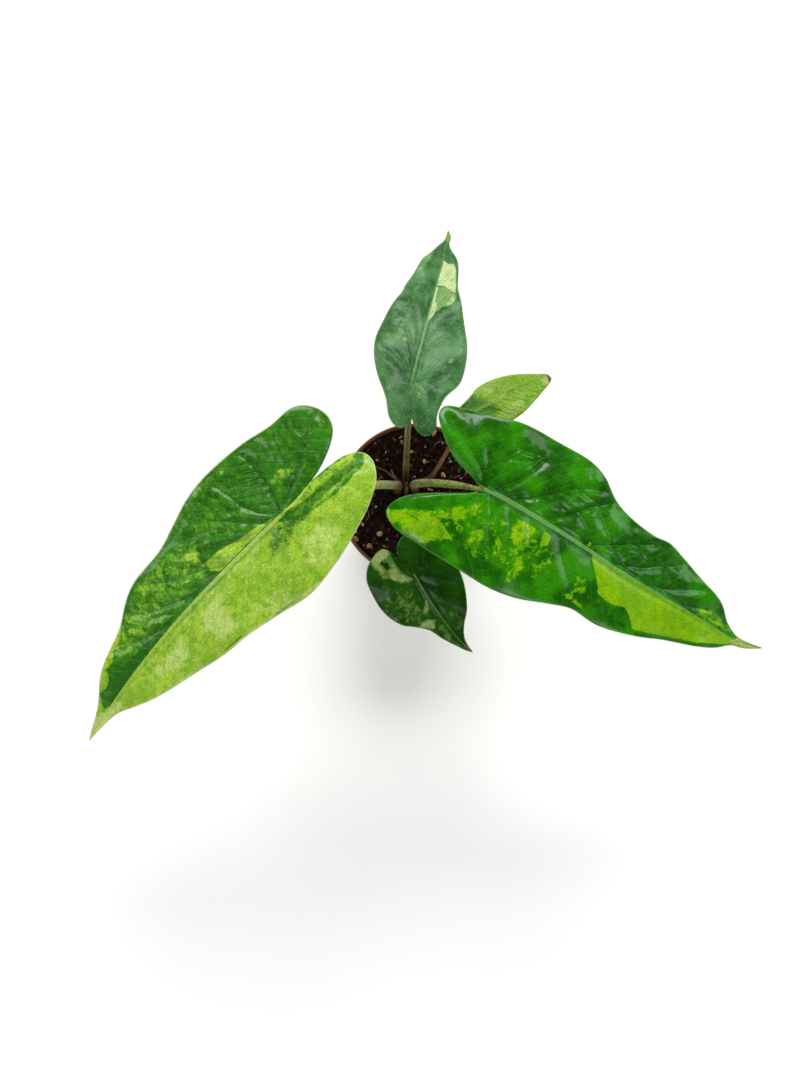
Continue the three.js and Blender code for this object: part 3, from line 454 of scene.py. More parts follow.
def smooth_line(points, count):
    """Points at even distances along a centripetal spline through the given ones."""
    points = np.array(points, float)
    before = 2 * points[0] - points[1]
    after = 2 * points[-1] - points[-2]
    whole = np.vstack([before, points, after])
    fine = []
    for p0, p1, p2, p3 in zip(whole, whole[1:], whole[2:], whole[3:]):
        gaps = [max(1e-4, np.linalg.norm(b - a)) ** 0.5 for a, b in ((p0, p1), (p1, p2), (p2, p3))]
        slope1 = (p1 - p0) / gaps[0] - (p2 - p0) / (gaps[0] + gaps[1]) + (p2 - p1) / gaps[1]
        slope2 = (p2 - p1) / gaps[1] - (p3 - p1) / (gaps[1] + gaps[2]) + (p3 - p2) / gaps[2]
        m1, m2 = slope1 * gaps[1], slope2 * gaps[1]
        for t in np.linspace(0, 1, 24, endpoint=False):
            h = (2 * t**3 - 3 * t**2 + 1, t**3 - 2 * t**2 + t, 3 * t**2 - 2 * t**3, t**3 - t**2)
            fine.append(h[0] * p1 + h[1] * m1 + h[2] * p2 + h[3] * m2)
    fine.append(points[-1])
    fine = np.array(fine)
    run = np.concatenate([[0], np.cumsum(np.linalg.norm(np.diff(fine, axis=0), axis=1))])
    even = np.linspace(0, run[-1], count)
    return np.stack([np.interp(even, run, fine[:, k]) for k in range(fine.shape[1])], axis=1)


def distance_inside(corners, along, aside):
    """How far inside a patch each point lies, negative outside it."""
    corners = np.array(corners, float)
    nearest = np.full(along.shape, 1e9)
    inside = np.zeros(along.shape, bool)
    for (ax, ay), (bx, by) in zip(corners, np.roll(corners, -1, axis=0)):
        dx, dy = bx - ax, by - ay
        t = np.clip(((along - ax) * dx + (aside - ay) * dy) / max(dx * dx + dy * dy, 1e-9), 0, 1)
        nearest = np.minimum(nearest, np.hypot(along - ax - t * dx, aside - ay - t * dy))
        crosses = (ay > aside) != (by > aside)
        at = ax + (aside - ay) * dx / (dy if abs(dy) > 1e-9 else 1e-9)
        inside ^= crosses & (along < at)
    return np.where(inside, nearest, -nearest)


def painted(patches, along, aside):
    """The strongest of the patches at each point, from 0 to 1."""
    field = np.zeros(along.shape)
    for strength, softness, corners in patches:
        share = np.clip(0.5 + distance_inside(corners, along, aside) / softness, 0, 1)
        field = np.maximum(field, strength * share)
    return field


def grain_at(points, scale, seed):
    """Smooth noise from -1 to 1 at flat or solid points in millimetres."""
    offset = Vector((seed * 7.3, seed * 3.1, seed * 1.7))
    padded = points if points.shape[1] == 3 else np.c_[points, np.zeros(len(points))]
    return np.array([noise.noise(Vector(p) * scale + offset) for p in padded.tolist()])


# Mesh helpers
def deselect():
    for thing in bpy.context.selected_objects:
        thing.select_set(False)


def pick(*pieces):
    """Selects these pieces alone, the first of them active, for the operators."""
    deselect()
    for piece in pieces:
        piece.select_set(True)
    bpy.context.view_layer.objects.active = pieces[0]


def points_of(piece):
    flat = np.zeros(len(piece.data.vertices) * 3)
    piece.data.vertices.foreach_get("co", flat)
    return flat.reshape(-1, 3)


def place_points(piece, points):
    piece.data.vertices.foreach_set("co", np.asarray(points, float).ravel())
    piece.data.update()


def normals_of(piece):
    flat = np.zeros(len(piece.data.vertices) * 3)
    piece.data.vertex_normals.foreach_get("vector", flat)
    return flat.reshape(-1, 3)


def give_values(piece, name, values):
    field = piece.data.attributes.new(name, "FLOAT", "POINT")
    field.data.foreach_set("value", np.asarray(values, np.float32))


def weld(piece, gap=0.002):
    """Joins the points that lie less than gap millimetres apart."""
    pick(piece)
    bpy.ops.object.mode_set(mode="EDIT")
    bpy.ops.mesh.select_all(action="SELECT")
    bpy.ops.mesh.remove_doubles(threshold=gap * MM)
    bpy.ops.object.mode_set(mode="OBJECT")


def apply_modifier(piece, kind, **settings):
    pick(piece)
    modifier = piece.modifiers.new(kind.lower(), kind)
    for key, value in settings.items():
        setattr(modifier, key, value)
    bpy.ops.object.modifier_apply(modifier=modifier.name)


def shade_round(piece, angle=None):
    """Shades a piece smooth all over, or only where its faces meet at less than an angle."""
    pick(piece)
    if angle is None:
        bpy.ops.object.shade_smooth()
    else:
        bpy.ops.object.shade_smooth_by_angle(angle=math.radians(angle))


def even_grid(name, columns, rows):
    """A square sheet from -1 to 1, ready to be bent to its shape."""
    deselect()
    bpy.ops.mesh.primitive_grid_add(x_subdivisions=columns, y_subdivisions=rows, size=2)
    sheet = bpy.context.object
    sheet.name = name
    return sheet


def round_strand(name, line_name, line, sizes, resolution):
    """A round strand with closed ends along a line, as thick at each point as sizes says."""
    curve = bpy.data.curves.new(line_name, "CURVE")
    curve.dimensions = "3D"
    curve.bevel_depth = MM
    curve.bevel_resolution = resolution
    curve.use_fill_caps = True
    spline = curve.splines.new("POLY")
    spline.points.add(len(line) - 1)
    for point, place, size in zip(spline.points, line, sizes):
        point.co = (*(place * MM), 1)
        point.radius = size
    strand = bpy.data.objects.new(name, curve)
    bpy.context.scene.collection.objects.link(strand)
    pick(strand)
    bpy.ops.object.convert(target="MESH")
    weld(strand)
    return strand


def finish_piece(piece, skin, slot, *nodes):
    """Gives a piece its material and body, and hides the nodes that it stands in for. The slot is not used.
    """
    piece.data.materials.clear()
    piece.data.materials.append(skin)
    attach(piece, "root")
    if nodes:
        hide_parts(*nodes)


# Blades
def sweep_at(leaf, along):
    """How far the midrib swings to the left at a distance along it."""
    line = smooth_line(leaf["midrib"], 200)
    return np.interp(along, line[:, 0], line[:, 1])


def read_veins(leaf, along, aside):
    """Depth of the grooves along the side veins, and the signed and plain distance to the nearest."""
    depth = np.zeros(along.shape)
    far = np.full(along.shape, 99.0)
    beside = np.full(along.shape, 99.0)
    for deep, wide, points in leaf["veins"]:
        line = smooth_line(points, 14)
        near = np.full(along.shape, 99.0)
        near_side = np.full(along.shape, 99.0)
        way = np.zeros(along.shape)
        for k, ((ax, ay), (bx, by)) in enumerate(zip(line, line[1:])):
            dx, dy = bx - ax, by - ay
            length = math.hypot(dx, dy)
            t = np.clip(((along - ax) * dx + (aside - ay) * dy) / length**2, 0, 1)
            gap = np.hypot(along - ax - t * dx, aside - ay - t * dy)
            closer = gap < near
            turn = np.where(dx * (aside - ay) - dy * (along - ax) < 0, -1.0, 1.0)
            near = np.where(closer, gap, near)
            near_side = np.where(closer, gap * turn, near_side)
            way = np.where(closer, (k + t) / (len(line) - 1), way)
        fade = (1 - 0.55 * way) * (1 - smooth(way, 0.9, 1))
        depth += deep * np.exp(-((near / wide) ** 2)) * fade
        felt = near + 1.5 * (1 - fade)
        nearer = felt < far
        far = np.where(nearer, felt, far)
        beside = np.where(nearer, near_side, beside)
    return depth, beside, far


def blade_shape(leaf, side, along, aside, around, across, veins):
    """The blade's middle surface in millimetres, with its margin's waves, quilting and veins."""
    bend = np.where(
        along >= 0,
        math.radians(leaf["droop"]) / leaf["length"],
        math.radians(leaf["lift"]) / leaf["lobe"],
    )
    start = math.radians(leaf["pitch"])
    slope = start + bend * along
    forward = (np.sin(slope) - math.sin(start)) / bend
    down = (math.cos(start) - np.cos(slope)) / bend
    sweep = sweep_at(leaf, along)
    off = aside - sweep
    away = np.sqrt(off * off + 1) - 1
    reach = np.hypot(along - leaf["fan"], aside)
    ends = np.minimum(1, np.minimum(around * 9, (1 - around) * 9))
    wave = np.sin(2 * np.pi * leaf["waves"] * around + np.where(side > 0, 0.6, 2.4))
    depth, beside, far = veins
    depth = GROOVE_LIMIT * (1 - np.exp(-depth / GROOVE_LIMIT))
    inward = (1 - smooth(across, RELIEF_END, 1)) * ends
    body = smooth(np.abs(off), 0.4, 3.4) * inward
    puff = np.where(side > 0, *leaf["puff"])
    flat = np.c_[along, aside]
    bumps = grain_at(flat, 0.2, 3) + 0.5 * grain_at(flat, 0.45, 5)
    rib_step = np.exp(-((off / 1.1) ** 4)) * smooth(along, 0.75 * leaf["length"], 0.3 * leaf["length"])
    gutter = np.exp(-(((np.abs(off) - 1.9) / 0.8) ** 2)) * smooth(along, leaf["length"], 0.5 * leaf["length"])
    from_edge = (1 - across) * reach / np.maximum(across, 0.02)
    beading = 0.3 * np.exp(-((from_edge / 1.1) ** 2))
    fold = math.radians(leaf["fold"])
    height = (
        away * math.sin(fold)
        - leaf["arch"] * (off / leaf["half_width"]) ** 2
        + leaf["wave_height"] * wave * ends * across**2.5
        - leaf["costa_drop"] * reach * smooth(around, 0.86, 1)
        + puff * (1 - np.exp(-((far / 2.6) ** 2)) - 0.6 + 0.3 * bumps) * body
        - np.where(side > 0, *leaf["cut"]) * depth * inward
        + leaf["rib"] * (0.4 * rib_step - 0.25 * gutter) * smooth(along, 0, 6)
        - beading * ends
    )
    heading = math.radians(leaf["heading"])
    level = off * math.cos(fold) + sweep
    ahead = forward + height * np.sin(slope)
    x = leaf["joint"][0] + ahead * math.cos(heading) - level * math.sin(heading)
    y = leaf["joint"][1] + ahead * math.sin(heading) + level * math.cos(heading)
    z = leaf["joint"][2] - down + height * np.cos(slope)
    return np.stack([x, y, z], axis=1)


def grow_blade(name, leaf):
    """A blade bent from one even sheet that runs round the leaf from notch to tip to notch."""
    blade = even_grid(name + "_blade_skin", 2 * leaf["rays"], leaf["rows"])
    flat = points_of(blade)
    side = np.where(flat[:, 0] >= 0, 1, -1)
    turn = np.abs(flat[:, 0])
    turn[turn < 1e-5] = 0
    across = ((flat[:, 1] + 1) / 2) ** 1.1
    front = np.clip(turn / FRONT_SHARE, 0, 1)
    fanned = np.clip((turn - FRONT_SHARE) / (1 - FRONT_SHARE), 0, 1)
    around = np.zeros(len(flat))
    edge = np.zeros((len(flat), 2))
    for sign, outline in ((1, leaf["left"]), (-1, leaf["right"])):
        line = smooth_line([leaf["tip"], *outline, leaf["notch"]], 1600)
        share = np.linspace(0, 1, len(line))
        start = share[np.argmax((line[:, 0] < leaf["fan"] + leaf["fan_slant"]) & (share > 0.3))]
        ours = side == sign
        around[ours] = start * front[ours] + (1 - start) * fanned[ours]
        for k in (0, 1):
            edge[ours, k] = np.interp(around[ours], share, line[:, k])
    root = leaf["length"] - (leaf["length"] - leaf["fan"]) * front**0.93
    root_side = sweep_at(leaf, root)
    along = root + (edge[:, 0] - root) * across
    aside = root_side + (edge[:, 1] - root_side) * across
    veins = read_veins(leaf, along, aside)
    place_points(blade, blade_shape(leaf, side, along, aside, around, across, veins) * MM)
    for kind in ("lime", "cream", "deep", "dead"):
        give_values(blade, kind, painted(PATCHES[name].get(kind, []), along, aside))
    off = aside - sweep_at(leaf, along)
    up_leaf = along / leaf["length"]
    spacing, slant = leaf["minor_veins"]
    swell = np.exp(-((off / 1.3) ** 2)) * smooth(along, -3, 3) * (1 - 0.8 * np.clip(up_leaf, 0, 1))
    for field, values in {
        "vein_depth": veins[0],
        "vein_side": veins[1],
        "vein_far": veins[2],
        "vein_rank": (along - slant * np.abs(off) - 0.006 * off * off) / spacing,
        "midrib_off": off,
        "up_leaf": up_leaf,
        "margin": (1 - across) * np.hypot(edge[:, 0] - root, edge[:, 1] - root_side),
        "rib_swell": leaf["rib"] * swell,
    }.items():
        give_values(blade, field, values)
    corner_vertex = np.zeros(len(blade.data.loops), int)
    blade.data.loops.foreach_get("vertex_index", corner_vertex)
    flat_leaf = blade.data.uv_layers[0]
    flat_leaf.name = "flat_leaf"
    mapped = (np.c_[along, aside] + FLAT_SHIFT) / FLAT_SPAN
    flat_leaf.data.foreach_set("uv", mapped[corner_vertex].ravel())
    weld(blade, 0.004)
    count = len(blade.data.vertices)
    apply_modifier(blade, "SOLIDIFY", thickness=BLADE_THICKNESS * MM, offset=0)
    # The second skin's points come after the first's, and the skin that faces down is the underside
    normals = normals_of(blade)
    middle = count // 2
    under = (np.arange(len(normals)) >= count) == (normals[count + middle, 2] < normals[middle, 2])
    rib = np.zeros(len(normals))
    blade.data.attributes["rib_swell"].data.foreach_get("value", rib)
    points = points_of(blade)
    points[:, 2] -= rib * under * MM
    place_points(blade, points)
    give_values(blade, "underside", under.astype(float))
    shade_round(blade)
    return blade


# Stalks
def grow_stalk(name):
    """A round tapered stalk whose end slips under its blade."""
    (wide, slim), path = STALKS[name]
    leaf = LEAVES[name]
    joint = np.array(leaf["joint"], float)
    line = smooth_line([*path, joint], 90)
    share = np.linspace(0, 1, len(line))
    radius = wide + (slim - wide) * share + 0.25 * np.clip(1 - share / 0.16, 0, 1)
    run = np.linalg.norm(line - joint, axis=1)
    near = 1 - smooth(run, 0, 16)
    radius *= 1 - 0.35 * near
    line[:, 2] -= near * (radius + 0.3)
    stalk = round_strand(name + "_stalk_skin", name + "_stalk_line", line, radius, 5)
    points = points_of(stalk) / MM
    nearest = np.argmin(np.linalg.norm(points[:, None, :] - line[None, ::3, :], axis=2), axis=1)
    give_values(stalk, "up_stalk", share[::3][nearest])
    ripple = grain_at(points, 0.18, 11) * 0.08
    place_points(stalk, (points + normals_of(stalk) * ripple[:, None]) * MM)
    shade_round(stalk)
    return stalk


# Mix, grains, corm and pot
def mix_height(x, y):
    """Millimetres above the floor: a low heap with clods, as the solid has, banked up at the back."""
    heap = 0.6 * np.cos(np.pi * np.hypot(x, y) / 76)
    clods = (
        np.sin(0.42 * x + 1.3) * np.cos(0.37 * y - 0.6)
        + 0.6 * np.sin(0.83 * x - 0.51 * y + 2.1)
        + 0.4 * np.cos(1.27 * y + 0.33 * x)
    )
    return MIX_LEVEL + heap + 0.4 * clods + 1.2 * smooth(y, 14, 36)


def turned_points(profile, flat):
    """Wraps an even sheet round the upright axis along a profile of radius and height."""
    run = np.array(profile, float)
    steps = np.concatenate([[0], np.cumsum(np.linalg.norm(np.diff(run, axis=0), axis=1))])
    place = (flat[:, 1] + 1) / 2 * steps[-1]
    radius = np.interp(place, steps, run[:, 0])
    height = np.interp(place, steps, run[:, 1])
    angle = np.pi * flat[:, 0]
    return np.stack([radius * np.cos(angle), radius * np.sin(angle), height], axis=1)


def heap_mix():
    """The mix, closed all round, with crumbs and small clods on its top."""
    mix = even_grid("potting_mix_crumbs", 280, 170)
    low = mix_low.z / MM
    top_radius = mix_high.x / MM
    flat_top = MIX_LEVEL - 1
    profile = [(0, low), (24, low), (25, low + 1), (top_radius - 0.2, flat_top), (0.0, flat_top)]
    points = turned_points(profile, points_of(mix))
    radius = np.hypot(points[:, 0], points[:, 1])
    on_top = smooth(points[:, 2], flat_top - 1, flat_top)
    crumbs = (
        1.1 * np.abs(grain_at(points, 0.32, 21))
        + 0.9 * grain_at(points, 0.9, 22)
        + 0.6 * grain_at(points, 2.3, 23)
        - 0.3
    )
    rise = mix_height(points[:, 0], points[:, 1]) - flat_top + crumbs
    edge_dip = 1 - 0.45 * smooth(radius, top_radius - 2, top_radius)
    points[:, 2] += on_top * rise * edge_dip
    place_points(mix, points * MM)
    weld(mix)
    shade_round(mix)
    return mix


def scatter(name, count, size, stretch, seed, places=()):
    """Lumps of one kind, each its own shape, sunk into the mix and joined."""
    draw = random.Random(seed)
    lumps = []
    spots = list(places)
    while len(spots) < count + len(places):
        reach = GRAIN_REACH * math.sqrt(draw.random())
        angle = 2 * math.pi * draw.random()
        x, y = reach * math.cos(angle), reach * math.sin(angle)
        if math.hypot(x - CROWN[0], y - CROWN[1]) > CROWN_CLEARANCE:
            spots.append((x, y, size * draw.uniform(0.6, 1.35)))
    deselect()
    bpy.ops.mesh.primitive_ico_sphere_add(subdivisions=2, radius=1)
    lump = bpy.context.object
    ball = points_of(lump)
    lump.name = name
    for k, (x, y, s) in enumerate(spots):
        copy = lump if k == 0 else lump.copy()
        if k:
            copy.data = lump.data.copy()
            bpy.context.scene.collection.objects.link(copy)
        rough = 1 + 0.5 * grain_at(ball * 1.3 + k * 5.1, 1.1, 31)[:, None]
        form = ball * rough * np.array([stretch * draw.uniform(0.7, 1.3), draw.uniform(0.75, 1.1), 0.75]) * s
        turn, lean = draw.uniform(0, 2 * math.pi), draw.uniform(-0.5, 0.5)
        form = form @ np.array([[math.cos(lean), 0, math.sin(lean)], [0, 1, 0],
                                [-math.sin(lean), 0, math.cos(lean)]])
        form = form @ np.array([[math.cos(turn), math.sin(turn), 0], [-math.sin(turn), math.cos(turn), 0],
                                [0, 0, 1]])
        base = float(mix_height(np.array(x), np.array(y)))
        place_points(copy, (form + np.array([x, y, base + 0.35 * s])) * MM)
        lumps.append(copy)
    pick(*lumps)
    bpy.ops.object.join()
    grains = bpy.context.object
    shade_round(grains, 50)
    return grains


def turn_corm():
    """The corm in the mix and the flat brown sheath that stands up between the stalks."""
    corm = even_grid("corm_skin", 64, 90)
    profile = [(0, 38), (5.8, 40), (8.6, 44), (9.6, 48), (9.6, 52), (8.3, 57), (5.3, 61.2), (1, 61.7),
               (1, 88), (0.95, 92.6), (0.7, 95), (0, 96)]
    points = turned_points(profile, points_of(corm))
    in_sheath = smooth(points[:, 2], 61.4, 61.7)[:, None]
    ridges = 0.1 * np.sin(6 * np.arctan2(points[:, 1], points[:, 0])) * in_sheath[:, 0]
    rings = 0.12 * np.sin(points[:, 2] * 2.2) * (1 - in_sheath[:, 0]) + 0.2 * grain_at(points, 0.4, 41)
    out = np.hypot(points[:, 0], points[:, 1])
    points[:, :2] *= np.where(out > 0.3, 1 + (rings * 0.5 + ridges) / np.maximum(out, 1), 1)[:, None]
    points[:, :2] *= 1 + in_sheath * (np.array(SHEATH_HALF_WIDTHS) - 1)
    points[:, :2] += np.array(CROWN) + in_sheath * (np.array(SHEATH) - np.array(CROWN))
    place_points(corm, points * MM)
    weld(corm)
    shade_round(corm)
    return corm


def lay_strand(name, points, wide, slim):
    """A root or leaf stalk remnant lying on the mix, a thin round strand that tapers to its end."""
    line = smooth_line(points, 30)
    line[:, 2] += mix_height(line[:, 0], line[:, 1])
    sizes = wide + (slim - wide) * np.linspace(0, 1, len(line))
    strand = round_strand(name, name + "_line", line, sizes, 2)
    shade_round(strand)
    return strand


def turn_pot():
    """The tapered pot: a ring drawn up from its outer base, over the lip and down its inside."""
    rim = pot_high.x / MM
    top = pot_high.z / MM
    slope = (rim - LIP_STEP - BASE_RADIUS) / top
    under_lip = top - LIP_DEPTH
    in_lip = top - LIP_INSIDE_DEPTH
    profile = [(BASE_RADIUS, 0), (BASE_RADIUS + slope * under_lip, under_lip),
               (rim, under_lip + LIP_UNDERCUT), (rim, top), (rim - LIP_WIDTH, top),
               (BASE_RADIUS - WALL + slope * in_lip, in_lip),
               (BASE_RADIUS - WALL + slope * FLOOR_TOP, FLOOR_TOP)]
    deselect()
    bpy.ops.mesh.primitive_circle_add(vertices=128, radius=profile[0][0] * MM, fill_type="NGON")
    pot = bpy.context.object
    pot.name = "pot_shell"
    bpy.ops.object.mode_set(mode="EDIT")
    bpy.ops.mesh.select_all(action="SELECT")
    for (radius, height), (next_radius, next_height) in zip(profile, profile[1:]):
        step = (0, 0, (next_height - height) * MM)
        bpy.ops.mesh.extrude_region_move(TRANSFORM_OT_translate={"value": step})
        spread = next_radius / radius
        bpy.ops.transform.resize(value=(spread, spread, 1), center_override=(0, 0, next_height * MM))
    bpy.ops.mesh.select_all(action="SELECT")
    bpy.ops.mesh.normals_make_consistent(inside=False)
    bpy.ops.object.mode_set(mode="OBJECT")
    apply_modifier(pot, "BEVEL", width=EDGE_ROUND * MM, segments=3, limit_method="ANGLE",
                   angle_limit=math.radians(25))
    for k in range(HOLES):
        angle = math.pi * (2 * k + 1) / HOLES
        deselect()
        at = (HOLE_RING * MM * math.cos(angle), HOLE_RING * MM * math.sin(angle), 0.5 * MM)
        bpy.ops.mesh.primitive_cylinder_add(vertices=40, radius=HOLE_RADIUS * MM, depth=6 * MM, location=at)
        drill = bpy.context.object
        apply_modifier(pot, "BOOLEAN", operation="DIFFERENCE", object=drill, solver="EXACT")
        bpy.data.objects.remove(drill)
    shade_round(pot, 30)
    return pot


# Materials
class Skin:
    """A principled material with short calls for the nodes that colour it."""

    def __init__(self, name, rough, specular):
        self.material = bpy.data.materials.new(name)
        self.material.use_nodes = True
        self.nodes = self.material.node_tree.nodes
        self.links = self.material.node_tree.links
        self.shader = self.nodes["Principled BSDF"]
        self.shader.inputs["Roughness"].default_value = rough
        self.shader.inputs["Specular IOR Level"].default_value = specular

    def node(self, kind, inputs=None, **settings):
        made = self.nodes.new(kind)
        for key, value in settings.items():
            setattr(made, key, value)
        for key, value in (inputs or {}).items():
            if isinstance(value, bpy.types.NodeSocket):
                self.links.new(value, made.inputs[key])
            else:
                made.inputs[key].default_value = value
        return made

    def place(self):
        """Metres in the piece's own frame."""
        return self.node("ShaderNodeTexCoord").outputs["Object"]

    def flat_leaf(self):
        """Millimetres on the flat leaf, from the stalk's joint."""
        uv = self.node("ShaderNodeUVMap", uv_map="flat_leaf").outputs["UV"]
        return self.placed(uv, scale=(FLAT_SPAN,) * 3, shift=(-FLAT_SHIFT, -FLAT_SHIFT, 0))

    def placed(self, place, scale=(1, 1, 1), turn=0.0, shift=(0, 0, 0)):
        return self.node("ShaderNodeMapping", {
            "Vector": place, "Scale": scale, "Rotation": (0, 0, math.radians(turn)), "Location": shift,
        }).outputs["Vector"]

    def folded(self, place):
        """The flat leaf with its right half laid on its left."""
        parts = self.node("ShaderNodeSeparateXYZ", {"Vector": place}).outputs
        return self.node("ShaderNodeCombineXYZ", {
            "X": parts[0], "Y": self.math("ABSOLUTE", parts[1]),
        }).outputs["Vector"]

    def value(self, name):
        return self.node("ShaderNodeAttribute", attribute_name=name).outputs["Fac"]

    def clouds(self, place, scale, detail=3, rough=0.55, twist=0):
        made = self.node("ShaderNodeTexNoise", {"Vector": place, "Scale": scale, "Detail": detail,
                                                "Roughness": rough, "Distortion": twist})
        return made.outputs["Fac"]

    def cells(self, place, scale, output="Distance", feature="F1"):
        made = self.node("ShaderNodeTexVoronoi", {"Vector": place, "Scale": scale}, feature=feature)
        return made.outputs[output]

    def cell_tints(self, place, scale):
        """Three random numbers for each cell."""
        return self.node("ShaderNodeSeparateColor", {"Color": self.cells(place, scale, "Color")}).outputs

    def math(self, kind, a, b=0.0):
        return self.node("ShaderNodeMath", {0: a, 1: b}, operation=kind).outputs[0]

    def plus(self, a, b, share):
        """One number and a share of another."""
        return self.math("ADD", a, self.math("MULTIPLY", b, share))

    def ramp(self, value, low, high, to_low=0.0, to_high=1.0):
        """Runs smoothly from one number to another as value goes from low to high."""
        made = self.node("ShaderNodeMapRange", {"Value": value, "From Min": low, "From Max": high,
                                                "To Min": to_low, "To Max": to_high},
                         interpolation_type="SMOOTHSTEP")
        return made.outputs["Result"]

    def mix(self, share, a, b):
        made = self.node("ShaderNodeMix", data_type="RGBA")
        for key, value in ((0, share), (6, a), (7, b)):
            if isinstance(value, bpy.types.NodeSocket):
                self.links.new(value, made.inputs[key])
            else:
                made.inputs[key].default_value = (*value, 1) if key else value
        return made.outputs[2]

    def colour(self, socket):
        self.links.new(socket, self.shader.inputs["Base Color"])

    def rough(self, socket):
        self.links.new(socket, self.shader.inputs["Roughness"])

    def bump(self, height, strength, distance):
        made = self.node("ShaderNodeBump", {"Height": height, "Strength": strength, "Distance": distance})
        self.links.new(made.outputs["Normal"], self.shader.inputs["Normal"])


STUDIO_LIGHT = 1.3  # how many times brighter than its own colour the lamps show a surface
SHEEN_VEIL = 0.004  # what the surface's own sheen adds to each colour
COAT_ROUGHNESS = 0.2


def paint(red, green, blue):
    """A colour given as it looks on a screen under the lamps, 0 to 255, for the shader."""
    linear = [((c / 255 + 0.055) / 1.055) ** 2.4 if c > 10 else c / 255 / 12.92 for c in (red, green, blue)]
    return tuple(max(0.001, c - SHEEN_VEIL) / STUDIO_LIGHT for c in linear)


